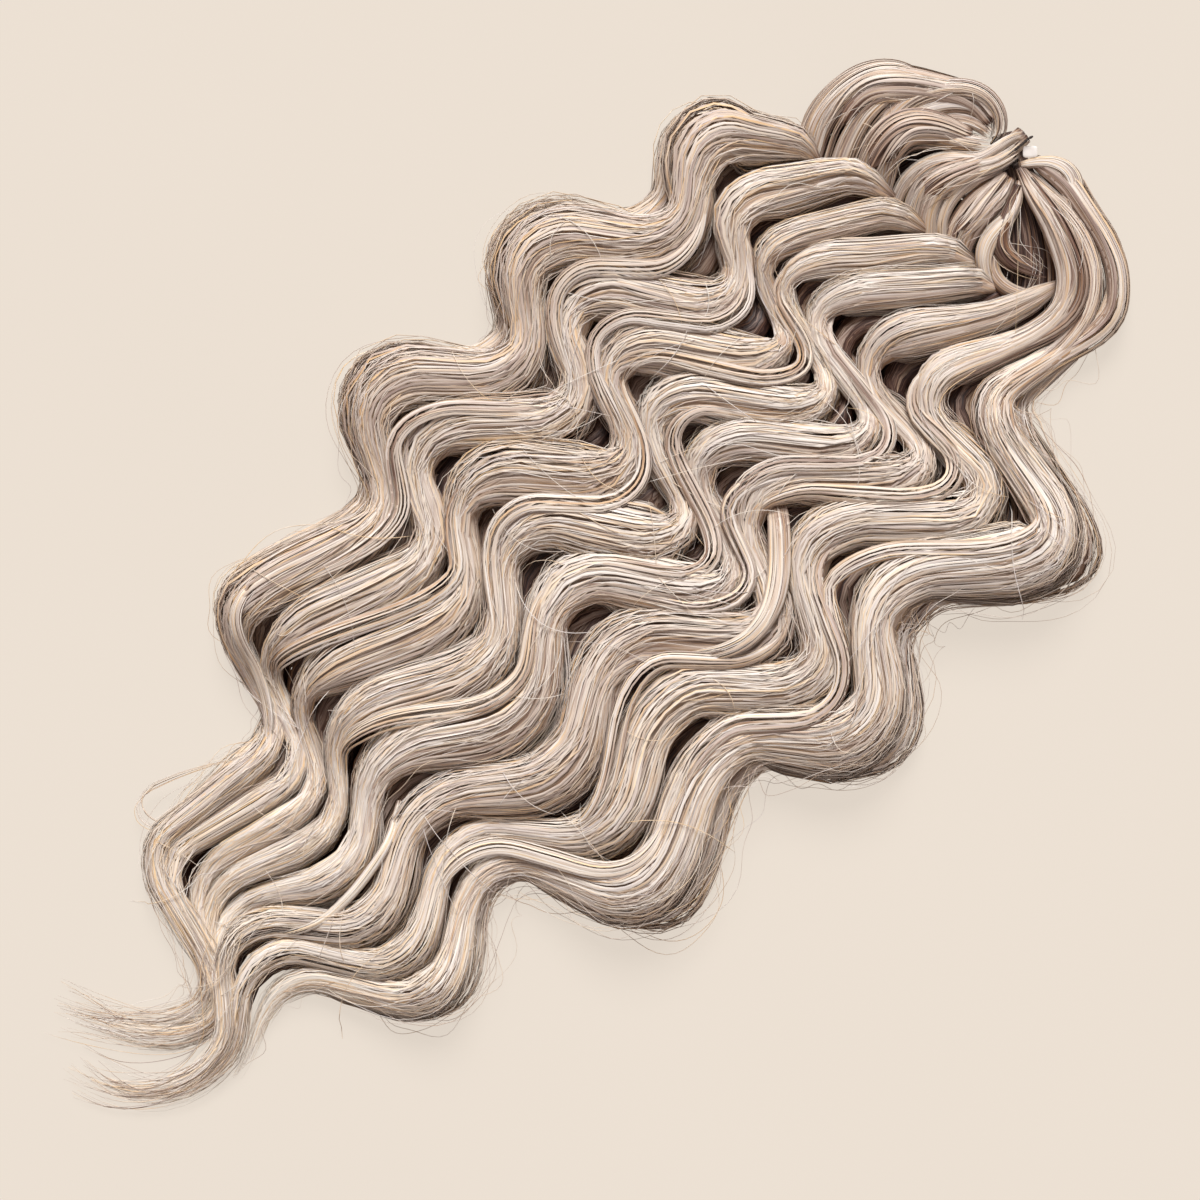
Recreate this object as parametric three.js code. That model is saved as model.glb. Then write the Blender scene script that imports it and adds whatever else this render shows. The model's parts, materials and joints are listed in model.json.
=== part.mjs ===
// A bundle of deep-waved braiding hair, laid flat as it comes out of its pack.
// Two layers of crimped locks share one set of folds, the folded head is gathered in a thread tie,
// and the longest locks run out into two fine tips.
// Millimetres, +Z up. +X runs along the bundle to its tied head and +Y to its far side.
// The bundle lies on the plane z = 0, with the middle of its outline at the origin.

import * as THREE from "three";

// Driving sizes of a lock
const LOCK_WIDTH = 22;
const LOWER_THICKNESS = 13;
const UPPER_THICKNESS = 15;
const THICKNESS_PER_WIDTH = 0.82; // a squeezed lock gets thinner too
const CLEARANCE = 0.4; // between one lock and the next
const END_SHARE = 0.2; // how much of its width a lock keeps where it runs out
const END_FOLDS = 1; // over how many folds it narrows to that
const HEAD_SHARE = 0.7; // how much it keeps where it dives under the head
const BEND_FULLNESS = 1.5; // over 1 the folds are rounder and the legs between them steeper
const TIP_CURL = new THREE.Vector2(-0.35, 0.94); // the way the two tips curl at their ends

// Driving sizes of the tie
const THREAD = 1.1;
const THREAD_TURNS = 3;
const TIE_BORE = 4.9; // radius of the neck that the thread is wound round
const TAB = { wide: 5, long: 4, thick: 0.8, corner: 1.2 };
const TAB_TURN = -Math.PI / 4; // it lies slantwise to the bundle

// The folds of the crimp, from the head to the tips. A row is one fold. Its columns give where the fold
// crosses the far edge, the middle and the near edge of the bundle, and halfway between those.
const COLUMNS = ["far", "far_mid", "mid", "near_mid", "near"];
const FOLDS = {
  head: { far: [172, 70], far_mid: [174, 37], mid: [182, -3], near_mid: [195, -39], near: [196, -57] },
  crest_1: { far: [148, 90], far_mid: [138, 47], mid: [136, 20], near_mid: [137, -22], near: [161, -55] },
  dip_1: { far: [119, 79], far_mid: [115, 32], mid: [114, -11], near_mid: [124, -54], near: [136, -103] },
  crest_2: { far: [78, 105], far_mid: [74, 60], mid: [70, 14], near_mid: [74, -31], near: [82, -79] },
  dip_2: { far: [47, 85], far_mid: [50, 43], mid: [46, -11], near_mid: [43, -55], near: [45, -103] },
  crest_3: { far: [7, 108], far_mid: [6, 63], mid: [4, 18], near_mid: [-2, -34], near: [2, -76] },
  dip_3: { far: [-26, 79], far_mid: [-25, 44], mid: [-34, 4], near_mid: [-40, -42], near: [-47, -89] },
  crest_4: { far: [-78, 88], far_mid: [-80, 53], mid: [-81, 18], near_mid: [-86, -22], near: [-85, -45] },
  dip_4: { far: [-107, 48], far_mid: [-110, 27], mid: [-116, 4], near_mid: [-121, -29], near: [-124, -60] },
  crest_5: { far: [-157, 49], far_mid: [-154, 32], mid: [-159, 18], near_mid: [-162, -5], near: [-166, -22] },
  dip_5: { far: [-182, 5], far_mid: [-189, -11], mid: [-192, -11], near_mid: [-197, -19], near: [-199, -30] },
  tip: { far: [-208, 26], far_mid: [-222, 21], mid: [-226, 13], near_mid: [-230, 5], near: [-224, -13] },
};
const FOLD_NAMES = Object.keys(FOLDS);
const LAST_FOLD = FOLD_NAMES.length - 1;

// The locks of each layer, from the far side to the near side. Lane 0 is the bundle's far edge and lane 16
// its near edge, and the upper locks lie in the hollows between the lower ones. Shorter locks end at a fold.
const LAST_LANE = 16;
const LOWER_LOCKS = [
  { name: "lower_lock_1", lane: 0, ends: "crest_5" },
  { name: "lower_lock_2", lane: 2, ends: "dip_5" },
  { name: "lower_lock_3", lane: 4, ends: "dip_4" },
  { name: "lower_lock_4", lane: 6, ends: "crest_5" },
  { name: "lower_lock_5", lane: 8, ends: "dip_4" },
  { name: "lower_lock_6", lane: 10, ends: "crest_5" },
  { name: "lower_lock_7", lane: 12, ends: "dip_5" },
  { name: "lower_lock_8", lane: 14, ends: "crest_5" },
  { name: "lower_lock_9", lane: 16, ends: "crest_5" },
];
const UPPER_LOCKS = [
  { name: "upper_lock_1", lane: 1, ends: "tip" },
  { name: "upper_lock_2", lane: 3, ends: "tip" },
  { name: "upper_lock_3", lane: 5, ends: "crest_5" },
  { name: "upper_lock_4", lane: 7, ends: "crest_5" },
  { name: "upper_lock_5", lane: 9, ends: "crest_5" },
  { name: "upper_lock_6", lane: 11, ends: "tip" },
  { name: "upper_lock_7", lane: 13, ends: "tip" },
  { name: "upper_lock_8", lane: 15, ends: "dip_5" },
];

// The locks of the folded head. A row is one section: where its middle lies, how high its underside is
// lifted off the floor, how wide it is across the bundle's plane and how tall it stands.
const HEAD_LOCKS = {
  roll_outer: [
    { x: 175, y: 54, lift: 1, wide: 13, tall: 14 },
    { x: 188, y: 58, lift: 0, wide: 16, tall: 18 },
    { x: 199, y: 58, lift: 0, wide: 17, tall: 19 },
    { x: 209, y: 51, lift: 0, wide: 15, tall: 19 },
    { x: 217, y: 41, lift: 0, wide: 12, tall: 18 },
    { x: 223, y: 30, lift: 0, wide: 11, tall: 16 },
    { x: 223, y: 20, lift: 2, wide: 8, tall: 11 },
  ],
  roll_inner: [
    { x: 176.5, y: 36, lift: 1, wide: 13, tall: 14 },
    { x: 189, y: 40, lift: 0, wide: 16, tall: 20 },
    { x: 199, y: 39, lift: 0, wide: 17, tall: 21 },
    { x: 207, y: 31, lift: 0, wide: 14, tall: 19 },
    { x: 213, y: 21, lift: 1, wide: 9, tall: 12 },
  ],
  head_strap: [
    { x: 181, y: 18, lift: 1, wide: 14, tall: 14 },
    { x: 192, y: 19, lift: 0, wide: 18, tall: 17 },
    { x: 205, y: 14, lift: 1, wide: 12, tall: 14 },
    { x: 216, y: 10, lift: 3, wide: 8, tall: 9 },
    { x: 228, y: 9, lift: 3, wide: 7, tall: 8 },
  ],
  neck_lock_1: [
    { x: 183.5, y: 1, lift: 0, wide: 11, tall: 13 },
    { x: 196, y: 1, lift: 0, wide: 11, tall: 14 },
    { x: 207, y: 2, lift: 1, wide: 8, tall: 11 },
    { x: 214, y: 3, lift: 3, wide: 6, tall: 8 },
  ],
  neck_lock_2: [
    { x: 214, y: -2, lift: 3, wide: 4, tall: 8 },
    { x: 203, y: -7, lift: 0, wide: 7, tall: 12 },
    { x: 195, y: -12, lift: 0, wide: 8, tall: 12 },
    { x: 194, y: -20, lift: 0, wide: 7, tall: 12 },
    { x: 197, y: -27, lift: 0, wide: 6, tall: 11 },
    { x: 200, y: -31.5, lift: 0, wide: 5, tall: 9 },
  ],
  loop_inner: [
    { x: 218.5, y: -3, lift: 3, wide: 5, tall: 9 },
    { x: 216, y: -15, lift: 0, wide: 10, tall: 16 },
    { x: 212, y: -28, lift: 0, wide: 12, tall: 19 },
    { x: 206, y: -40, lift: 0, wide: 13, tall: 19 },
    { x: 199, y: -45, lift: 0, wide: 13, tall: 17 },
  ],
  loop_outer: [
    { x: 224, y: 0, lift: 3, wide: 5, tall: 8 },
    { x: 227, y: -12, lift: 0, wide: 10, tall: 13 },
    { x: 225, y: -22, lift: 0, wide: 9, tall: 15 },
    { x: 223, y: -32, lift: 0, wide: 9, tall: 15 },
    { x: 218, y: -45, lift: 0, wide: 9, tall: 15 },
    { x: 208, y: -55, lift: 0, wide: 9, tall: 15 },
    { x: 198, y: -59, lift: 0, wide: 9, tall: 13 },
  ],
};
const TIE_AT = { x: 219, y: 9.7, z: 7 };
const TAB_AT = { x: 224.6, y: 3.4, z: 10.3 };

// How finely the locks are faceted
const RINGS_OF_LEG = [0, 0.2, 0.5, 0.8]; // closer together at the folds
const POINTS_PER_RING = 6; // along a lock, where its distance to the others is measured
const HEAD_RINGS = 12;
const LOWER_SECTION = sectionOf(6, 0);
const UPPER_SECTION = sectionOf(8, Math.PI / 8);

// A lock's section is a ring of points on an ellipse, turned so that a flat lies underneath.
function sectionOf(sides, turn) {
  const points = [];
  for (let i = 0; i < sides; i++) {
    const angle = turn + (2 * Math.PI * i) / sides;
    points.push({ across: Math.cos(angle), up: Math.sin(angle) });
  }
  return { points, foot: Math.max(...points.map((point) => point.up)) };
}

// Where a fold crosses a lane, as a point of the bundle's plane
function foldPoint(fold, lane) {
  const row = FOLDS[FOLD_NAMES[fold]];
  const across = new THREE.SplineCurve(COLUMNS.map((column) => new THREE.Vector2(...row[column])));
  return across.getPoint(lane / LAST_LANE);
}

// The leg of a lane from a fold to the next, as a curve that runs level with the bundle at each fold
function legCurve(lane, fold) {
  const from = foldPoint(fold, lane);
  const to = foldPoint(fold + 1, lane);
  const reach = (BEND_FULLNESS * (to.x - from.x)) / 3;
  const leave = new THREE.Vector2(from.x + reach, from.y);
  const arrive = new THREE.Vector2(to.x - reach, to.y);
  if (fold + 1 === LAST_FOLD) arrive.copy(to).addScaledVector(TIP_CURL, reach);
  return new THREE.CubicBezierCurve(from, leave, arrive, to);
}

// The rings of a lock along its lane, before their sizes and heights are known. A ring's place is counted
// in folds from the head.
function layOut(lock) {
  const end = FOLD_NAMES.indexOf(lock.ends);
  const rings = [];
  for (let fold = 0; fold < end; fold++) {
    const leg = legCurve(lock.lane, fold);
    const shares = fold + 1 < end ? RINGS_OF_LEG : [...RINGS_OF_LEG, 1];
    for (const share of shares) {
      const at = leg.getPoint(share);
      const ahead = leg.getTangent(share);
      const middle = new THREE.Vector3(at.x, at.y, 0);
      const side = new THREE.Vector2(-ahead.y, ahead.x);
      rings.push({ place: fold + share, middle, side, across: 0, up: 0 });
    }
  }
  return { ...lock, end, rings };
}

// Points along a lock's rings and the straight stretches between them, with the sizes there
function pointsAlong(rings) {
  const points = [];
  for (let i = 0; i + 1 < rings.length; i++) {
    const [from, to] = [rings[i], rings[i + 1]];
    for (let step = 0; step < POINTS_PER_RING; step++) {
      const share = step / POINTS_PER_RING;
      points.push({
        middle: from.middle.clone().lerp(to.middle, share),
        across: THREE.MathUtils.lerp(from.across, to.across, share),
        up: THREE.MathUtils.lerp(from.up, to.up, share),
      });
    }
  }
  return [...points, rings[rings.length - 1]];
}

// The points of a lock that lie within half a stretch of a ring
function pointsAround(points, ring) {
  const at = ring * POINTS_PER_RING;
  return points.slice(Math.max(at - POINTS_PER_RING / 2, 0), at + POINTS_PER_RING / 2 + 1);
}

function planDistance(a, b) {
  return Math.hypot(a.x - b.x, a.y - b.y);
}

// Gives each lock of a layer the width that its neighbours leave it, and a thickness to suit
function widen(layer, thickness) {
  const paths = layer.map((lock) => pointsAlong(lock.rings));
  layer.forEach((lock, own) => {
    const others = paths.filter((_, i) => i !== own).flat();
    lock.rings.forEach((ring, i) => {
      const near = pointsAround(paths[own], i);
      const room = Math.min(...near.map(({ middle }) => nearest(middle, others))) - CLEARANCE;
      const left = Math.min((lock.end - ring.place) / END_FOLDS, 1);
      const run = THREE.MathUtils.lerp(END_SHARE, 1, Math.sin((left * Math.PI) / 2));
      const dive = THREE.MathUtils.lerp(HEAD_SHARE, 1, Math.min(ring.place, 1));
      ring.across = (Math.min(LOCK_WIDTH, room) / 2) * run * dive;
      ring.up = Math.min((thickness / 2) * run * dive, ring.across * THICKNESS_PER_WIDTH);
    });
  });
}

function nearest(middle, points) {
  return points.reduce((least, point) => Math.min(least, planDistance(point.middle, middle)), Infinity);
}

// Lays the locks of a layer on the floor
function layDown(layer, section) {
  for (const ring of layer.flatMap((lock) => lock.rings)) ring.middle.z = ring.up * section.foot;
}

// Lifts the locks of a layer until they nest on the locks below
function nest(layer, below) {
  const under = below.flatMap((lock) => pointsAlong(lock.rings));
  for (const lock of layer) {
    const points = pointsAlong(lock.rings);
    const heights = lock.rings.map((_, i) =>
      Math.max(...pointsAround(points, i).map((point) => restingHeight(point, under))),
    );
    lock.rings.forEach((ring, i) => (ring.middle.z = Math.max(heights[i], ring.middle.z)));
  }
}

// How high a point of a lock has to lie to clear the points under it, both being round in plan
function restingHeight(point, under) {
  let height = 0;
  for (const other of under) {
    const lean = planDistance(point.middle, other.middle) / (point.across + other.across);
    if (lean >= 1) continue;
    const rise = (point.up + other.up) * Math.sqrt(1 - lean * lean);
    height = Math.max(height, other.middle.z + rise + CLEARANCE);
  }
  return height;
}

function headRings(rows) {
  const foot = UPPER_SECTION.foot;
  const path = new THREE.CatmullRomCurve3(
    rows.map((row) => new THREE.Vector3(row.x, row.y, row.lift + (foot * row.tall) / 2)),
  );
  const sizes = new THREE.SplineCurve(rows.map((row) => new THREE.Vector2(row.wide / 2, row.tall / 2)));
  return Array.from({ length: HEAD_RINGS + 1 }, (_, step) => {
    const share = step / HEAD_RINGS;
    const ahead = path.getTangent(share);
    const side = new THREE.Vector2(-ahead.y, ahead.x).normalize();
    const half = sizes.getPoint(share);
    const middle = path.getPoint(share);
    middle.z = Math.max(middle.z, foot * half.y);
    return { middle, side, across: half.x, up: half.y };
  });
}

// A closed skin through the rings, with a fan of triangles over each end
function loft(rings, section) {
  const sides = section.points.length;
  const points = rings.flatMap((ring) =>
    section.points.map((point) => {
      const across = point.across * ring.across;
      const offset = new THREE.Vector3(ring.side.x * across, ring.side.y * across, point.up * ring.up);
      return offset.add(ring.middle);
    }),
  );
  const start = points.push(rings[0].middle) - 1;
  const end = points.push(rings[rings.length - 1].middle) - 1;
  const last = (rings.length - 1) * sides;
  const faces = [];
  for (let i = 0; i < sides; i++) {
    const next = (i + 1) % sides;
    for (let row = 0; row < last; row += sides) {
      faces.push(row + i, row + next, row + sides + i);
      faces.push(row + next, row + sides + next, row + sides + i);
    }
    faces.push(start, next, i);
    faces.push(end, last + i, last + next);
  }
  const skin = new THREE.BufferGeometry().setFromPoints(points);
  skin.setIndex(faces);
  skin.computeVertexNormals();
  return skin;
}

// Turns of thread wound side by side round the neck, with a round back to each turn
function tieGeometry() {
  const radius = THREAD / 2;
  const length = THREAD * THREAD_TURNS;
  const profile = [new THREE.Vector2(TIE_BORE, length / 2), new THREE.Vector2(TIE_BORE, -length / 2)];
  for (let turn = 0; turn < THREAD_TURNS; turn++) {
    for (const share of [0.1, 0.5, 0.9]) {
      const out = TIE_BORE + radius + radius * Math.sin(share * Math.PI);
      profile.push(new THREE.Vector2(out, (turn + share) * THREAD - length / 2));
    }
  }
  profile.push(profile[0].clone());
  return new THREE.LatheGeometry(profile, 16);
}

// The bare end of the tape that the thread is knotted to, with one corner clipped
function tabGeometry() {
  const outline = new THREE.Shape();
  outline.moveTo(-TAB.wide / 2, -TAB.long / 2);
  outline.lineTo(TAB.wide / 2 - TAB.corner, -TAB.long / 2);
  outline.lineTo(TAB.wide / 2, -TAB.long / 2 + TAB.corner);
  outline.lineTo(TAB.wide / 2, TAB.long / 2);
  outline.lineTo(-TAB.wide / 2, TAB.long / 2);
  return new THREE.ExtrudeGeometry(outline, { depth: TAB.thick, bevelEnabled: false });
}

const shadedHair = new THREE.MeshStandardMaterial({ color: 0x9a8373, roughness: 0.5, metalness: 0 });
const litHair = new THREE.MeshStandardMaterial({ color: 0xd6c4b2, roughness: 0.45, metalness: 0 });
const thread = new THREE.MeshStandardMaterial({ color: 0x3a2e28, roughness: 0.8, metalness: 0 });
const tape = new THREE.MeshStandardMaterial({ color: 0xefe9e2, roughness: 0.7, metalness: 0 });

function named(name, geometry, material) {
  const mesh = new THREE.Mesh(geometry, material.clone());
  mesh.name = name;
  return mesh;
}

const lowerLocks = LOWER_LOCKS.map(layOut);
const upperLocks = UPPER_LOCKS.map(layOut);
widen(lowerLocks, LOWER_THICKNESS);
widen(upperLocks, UPPER_THICKNESS);
layDown(lowerLocks, LOWER_SECTION);
layDown(upperLocks, UPPER_SECTION);
nest(upperLocks, lowerLocks);

const bundle = new THREE.Group();
for (const lock of lowerLocks) bundle.add(named(lock.name, loft(lock.rings, LOWER_SECTION), shadedHair));
for (const lock of upperLocks) bundle.add(named(lock.name, loft(lock.rings, UPPER_SECTION), litHair));
for (const [name, rows] of Object.entries(HEAD_LOCKS)) {
  bundle.add(named(name, loft(headRings(rows), UPPER_SECTION), litHair));
}

const tie = named("tie_thread", tieGeometry(), thread);
tie.position.set(TIE_AT.x, TIE_AT.y, TIE_AT.z);
tie.rotation.z = Math.PI / 2;
bundle.add(tie);

const tab = named("tie_tab", tabGeometry(), tape);
tab.position.set(TAB_AT.x, TAB_AT.y, TAB_AT.z);
tab.rotation.z = TAB_TURN;
bundle.add(tab);

// The middle of the outline goes to the origin, with the lowest flats on the floor.
const outline = new THREE.Box3().setFromObject(bundle);
const middle = outline.getCenter(new THREE.Vector3());
bundle.position.set(-middle.x, -middle.y, -outline.min.z);

export default bundle;
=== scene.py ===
# %% [markdown]
# # A bundle of braiding hair
# One bundle of crimped synthetic hair lies on a pale table, with its folded head tied at one end. The
# solids of the frame give each lock its place and its form. Here each lock becomes what it is on the real
# bundle: tufts of fibre that run along it, side by side and over each other, with shade in the depth
# between them.

# %% Load the frame
import json
import math

import bmesh
import bpy
import numpy as np
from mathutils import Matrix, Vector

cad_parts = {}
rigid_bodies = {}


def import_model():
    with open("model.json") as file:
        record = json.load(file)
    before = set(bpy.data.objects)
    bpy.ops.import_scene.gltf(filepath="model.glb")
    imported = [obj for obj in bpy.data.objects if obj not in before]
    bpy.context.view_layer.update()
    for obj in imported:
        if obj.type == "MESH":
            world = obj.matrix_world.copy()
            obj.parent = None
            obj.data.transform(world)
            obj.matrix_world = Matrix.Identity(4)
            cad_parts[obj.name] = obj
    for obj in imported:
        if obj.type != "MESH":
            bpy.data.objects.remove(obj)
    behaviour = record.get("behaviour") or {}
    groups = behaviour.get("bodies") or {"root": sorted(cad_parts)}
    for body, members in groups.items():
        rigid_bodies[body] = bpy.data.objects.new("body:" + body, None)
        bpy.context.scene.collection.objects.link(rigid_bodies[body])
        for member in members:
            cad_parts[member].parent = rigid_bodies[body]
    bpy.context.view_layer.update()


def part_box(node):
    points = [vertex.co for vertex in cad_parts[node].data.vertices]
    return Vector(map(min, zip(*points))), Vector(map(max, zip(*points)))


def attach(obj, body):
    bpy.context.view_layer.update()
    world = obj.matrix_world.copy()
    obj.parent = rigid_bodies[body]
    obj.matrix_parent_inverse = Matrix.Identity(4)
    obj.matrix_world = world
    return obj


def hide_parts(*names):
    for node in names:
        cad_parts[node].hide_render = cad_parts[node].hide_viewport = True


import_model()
MM = 0.001

# %% [markdown]
# ## The view
# The bundle is seen from straight above and lies across the picture from corner to corner. A camera that
# looks down needs only a turn about Z for that. A long lens from over a metre away keeps the hair on top
# and the hair on the floor at nearly one scale, which a short lens would not.

# %% Camera
PICTURE_WIDTH = 414 * MM
PICTURE_CENTRE = (9.5 * MM, -3.0 * MM)
PICTURE_TURN = -45
HAIR_MIDDLE = 11 * MM
LENS, SENSOR = 100.0, 36.0

scene = bpy.context.scene
camera = bpy.data.objects.new("camera", bpy.data.cameras.new("camera"))
camera.data.lens, camera.data.sensor_width = LENS, SENSOR
camera.location = (*PICTURE_CENTRE, HAIR_MIDDLE + PICTURE_WIDTH * LENS / SENSOR)
camera.rotation_euler = (0, 0, math.radians(PICTURE_TURN))
scene.collection.objects.link(camera)
scene.camera = camera
print("camera height in mm:", round(camera.location.z / MM))

# %% [markdown]
# ## Colour and nodes
# Colours are written as the hex values that a paint chip would have. Blender mixes light in linear
# values, so one function turns a hex colour into those. A second one adds a node to a material with its
# settings and links, and every material below is built with it.

# %% Helpers for materials
def linear(hex_colour):
    """Linear RGBA of an sRGB hex colour."""
    parts = [int(hex_colour[i : i + 2], 16) / 255 for i in (1, 3, 5)]
    return (*[p / 12.92 if p <= 0.04045 else ((p + 0.055) / 1.055) ** 2.4 for p in parts], 1.0)


def add_node(tree, kind, inputs=None, **settings):
    """Adds a node. An input is a value, or a (node, output) pair that is linked to it."""
    node = tree.nodes.new(kind)
    for key, value in settings.items():
        setattr(node, key, value)
    for socket, value in (inputs or {}).items():
        if isinstance(value, tuple) and hasattr(value[0], "outputs"):
            tree.links.new(value[0].outputs[value[1]], node.inputs[socket])
        else:
            node.inputs[socket].default_value = value
    return node


def new_material(name):
    """An empty node material and its tree."""
    material = bpy.data.materials.new(name)
    material.use_nodes = True
    material.node_tree.nodes.clear()
    return material, material.node_tree


print("table cream is", [round(c, 3) for c in linear("#ECE1D4")])

# %% [markdown]
# ## Table and light
# The hair lies on a smooth light table in warm cream. The light comes from beyond the top edge of the
# picture, soft and rather high, so tufts that lie across it shine and tufts that point at it stay dull. A
# sun with a wide disc gives the same light everywhere, and an even sky fills the shade. The table's top
# glows a little, as a light table does, which keeps the shadow on it faint. All of it together shows the
# table in its own colour.

# %% Floor
SKY, KEY, TABLE_GLOW = 0.32, 0.88, 0.86
CLOUD = 300 * MM
FLOOR_REACH = 30

# Opal acrylic over lamps: matt to the eye, with faint wide clouds and a light of its own.
opal_acrylic, tree = new_material("opal_acrylic")
spot = add_node(tree, "ShaderNodeTexCoord")
clouds = add_node(tree, "ShaderNodeTexNoise",
                  {"Vector": (spot, "Object"), "Scale": 1 / CLOUD, "Detail": 3.0})
shades = add_node(tree, "ShaderNodeValToRGB", {"Fac": (clouds, "Fac")})
for stop, cream in zip(shades.color_ramp.elements, ("#EADFD2", "#EEE3D6")):
    stop.color = linear(cream)
top = add_node(tree, "ShaderNodeBsdfDiffuse", {"Color": (shades, "Color")})
from_below = (1 - (1 - TABLE_GLOW) * (SKY + KEY)) / TABLE_GLOW
glow = add_node(tree, "ShaderNodeEmission", {"Color": (shades, "Color"), "Strength": from_below})
sheet = add_node(tree, "ShaderNodeMixShader", {0: TABLE_GLOW, 1: (top, "BSDF"), 2: (glow, "Emission")})
add_node(tree, "ShaderNodeOutputMaterial", {"Surface": (sheet, "Shader")})

board = bmesh.new()
bmesh.ops.create_grid(board, x_segments=4, y_segments=4, size=FLOOR_REACH)
floor = bpy.data.objects.new("floor", bpy.data.meshes.new("floor"))
board.to_mesh(floor.data)
board.free()
floor.data.materials.append(opal_acrylic)
scene.collection.objects.link(floor)
print("the table glows with a strength of", round(from_below, 2))

# %% Lights
KEY_HEIGHT, KEY_FROM, KEY_SOFTNESS = 46, 45, 30
scene.view_settings.view_transform = "Standard"
sky = bpy.data.worlds.new("studio")
sky.use_nodes = True
sky.node_tree.nodes["Background"].inputs["Color"].default_value = linear("#FFEBE6")
sky.node_tree.nodes["Background"].inputs["Strength"].default_value = SKY
scene.world = sky
key = bpy.data.objects.new("key_light", bpy.data.lights.new("key_light", "SUN"))
key.data.angle = math.radians(KEY_SOFTNESS)
key.data.energy = KEY * math.pi / math.sin(math.radians(KEY_HEIGHT))
key.rotation_euler = (0, math.radians(90 - KEY_HEIGHT), math.radians(KEY_FROM))
scene.collection.objects.link(key)
print("key light:", round(key.data.energy, 2), "W/m2 from", KEY_HEIGHT, "degrees up")

# %% [markdown]
# ## The course of a lock
# A lock's solid is a row of rings between two flat ends. The tufts have to follow it, so its rings are
# read back from its mesh: the middle of each end is the only corner whose faces all lie in one plane, and
# the rings are the corners one step, two steps and so on from there. Each ring gives the lock's middle,
# its half width and its half height. Repeating the route as a table here would also do, but it could
# drift away from the solids.

# %% Read the rings
HEIGHT, HALF_WIDTH, HALF_HEIGHT = 2, 3, 4


def rings_of(name):
    """Middle (x, y, z), half width and half height of each ring of a lock, from the end nearest the tie."""
    shape = bmesh.new()
    shape.from_mesh(bpy.data.objects[name].data)
    bmesh.ops.remove_doubles(shape, verts=shape.verts, dist=1e-6)
    ends = [v for v in shape.verts
            if all(f.normal.dot(v.link_faces[0].normal) > 0.9999 for f in v.link_faces)]
    ring = {max(ends, key=lambda v: v.co.x)}
    seen, rings = set(ring), []
    while True:
        ring = {e.other_vert(v) for v in ring for e in v.link_edges} - seen
        if len(ring) < 3:
            break
        seen |= ring
        rings.append(np.array([v.co[:] for v in ring]))
    shape.free()
    middles = np.array([r.mean(axis=0) for r in rings])
    ways = np.gradient(middles, axis=0)
    sizes = []
    for points, middle, way in zip(rings, middles, ways):
        aside = np.array([way[1], -way[0], 0]) / math.hypot(way[0], way[1])
        off = points - middle
        sizes.append((math.sqrt(2 * np.mean((off @ aside) ** 2)), math.sqrt(2 * np.mean(off[:, 2] ** 2))))
    return np.column_stack([middles, sizes])


LOWER = [f"lower_lock_{i}" for i in range(1, 10)]
UPPER = [f"upper_lock_{i}" for i in range(1, 9)]
HEAD = ["roll_outer", "roll_inner", "head_strap", "neck_lock_1", "neck_lock_2", "loop_inner", "loop_outer"]
rings = {name: rings_of(name) for name in LOWER + UPPER + HEAD}
print({name: len(r) for name, r in rings.items()})

# %% [markdown]
# The hair on the real bundle waves more deeply than the solids, most of all in the middle, so there the
# rings are moved further from the line that the waves swing about. Waving the solids this far would also
# do, but their locks would then run into each other, and hair may do that where solids may not.

# %% Deepen the waves
WAVE = np.array([0.5, 1, 1, 1, 1, 1, 1, 1, 0.5]) / 8
DEEPER = {1: 0.12, 2: 0.3, 3: 0.42, 4: 0.42, 5: 0.42, 6: 0.42, 7: 0.3, 8: 0.12}


def run_on(values, pad):
    """Values with pad more at each end, mirrored through the end so that it keeps its place."""
    before = 2 * values[0] - values[pad:0:-1]
    after = 2 * values[-1] - values[-2 : -pad - 2 : -1]
    return np.concatenate([before, values, after])


def deepened(rows, share):
    """Rings with deeper waves. A wave has eight rings, and both ends keep their place."""
    flat = rows[:, :2]
    longer = run_on(flat, len(WAVE) // 2)
    middle = np.column_stack([np.convolve(column, WAVE, mode="valid") for column in longer.T])
    count = np.arange(len(rows))
    fade = np.clip(np.minimum(count, count[::-1] - 2) / 5, 0, 1)[:, None]
    deeper = rows.copy()
    deeper[:, :2] += share * fade * (flat - middle)
    return deeper


for name in LOWER + UPPER:
    lane = int(name[-1]) if name in UPPER else min(max(int(name[-1]) - 0.5, 1), 8)
    rings[name] = deepened(rings[name], np.interp(lane, list(DEEPER), list(DEEPER.values())))
print("the middle locks get waves that are", f"{max(DEEPER.values()):.0%}", "deeper")

# %% [markdown]
# Three locks of the middle end at the last fold. Their hair runs on into the tips, so a few rings between
# two tip locks are added to each. The last rings are drawn together into the two points of the bundle,
# and the near point droops before its end. No upper lock gets thinner than a real wisp before its end.
# The solids could run on in the same way, but ends as thin as these are better left to the hair.

# %% Draw out the tips
TIP_OF = {"upper_lock_3": 0.05, "upper_lock_4": 0.9, "upper_lock_5": 1.0}
GATHERED = 8
DROOP = np.array([0, 0, 0.15, 0.45, 0.85, 1.0, 0.85, 0.4]) * 7 * MM
PICTURE_UP = np.array([-math.sin(math.radians(PICTURE_TURN)), math.cos(math.radians(PICTURE_TURN))])
WISP_HALF_WIDTH, WISP_HALF_HEIGHT, WISP_MIDDLE = 3.8 * MM, 2.2 * MM, 5 * MM


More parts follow.
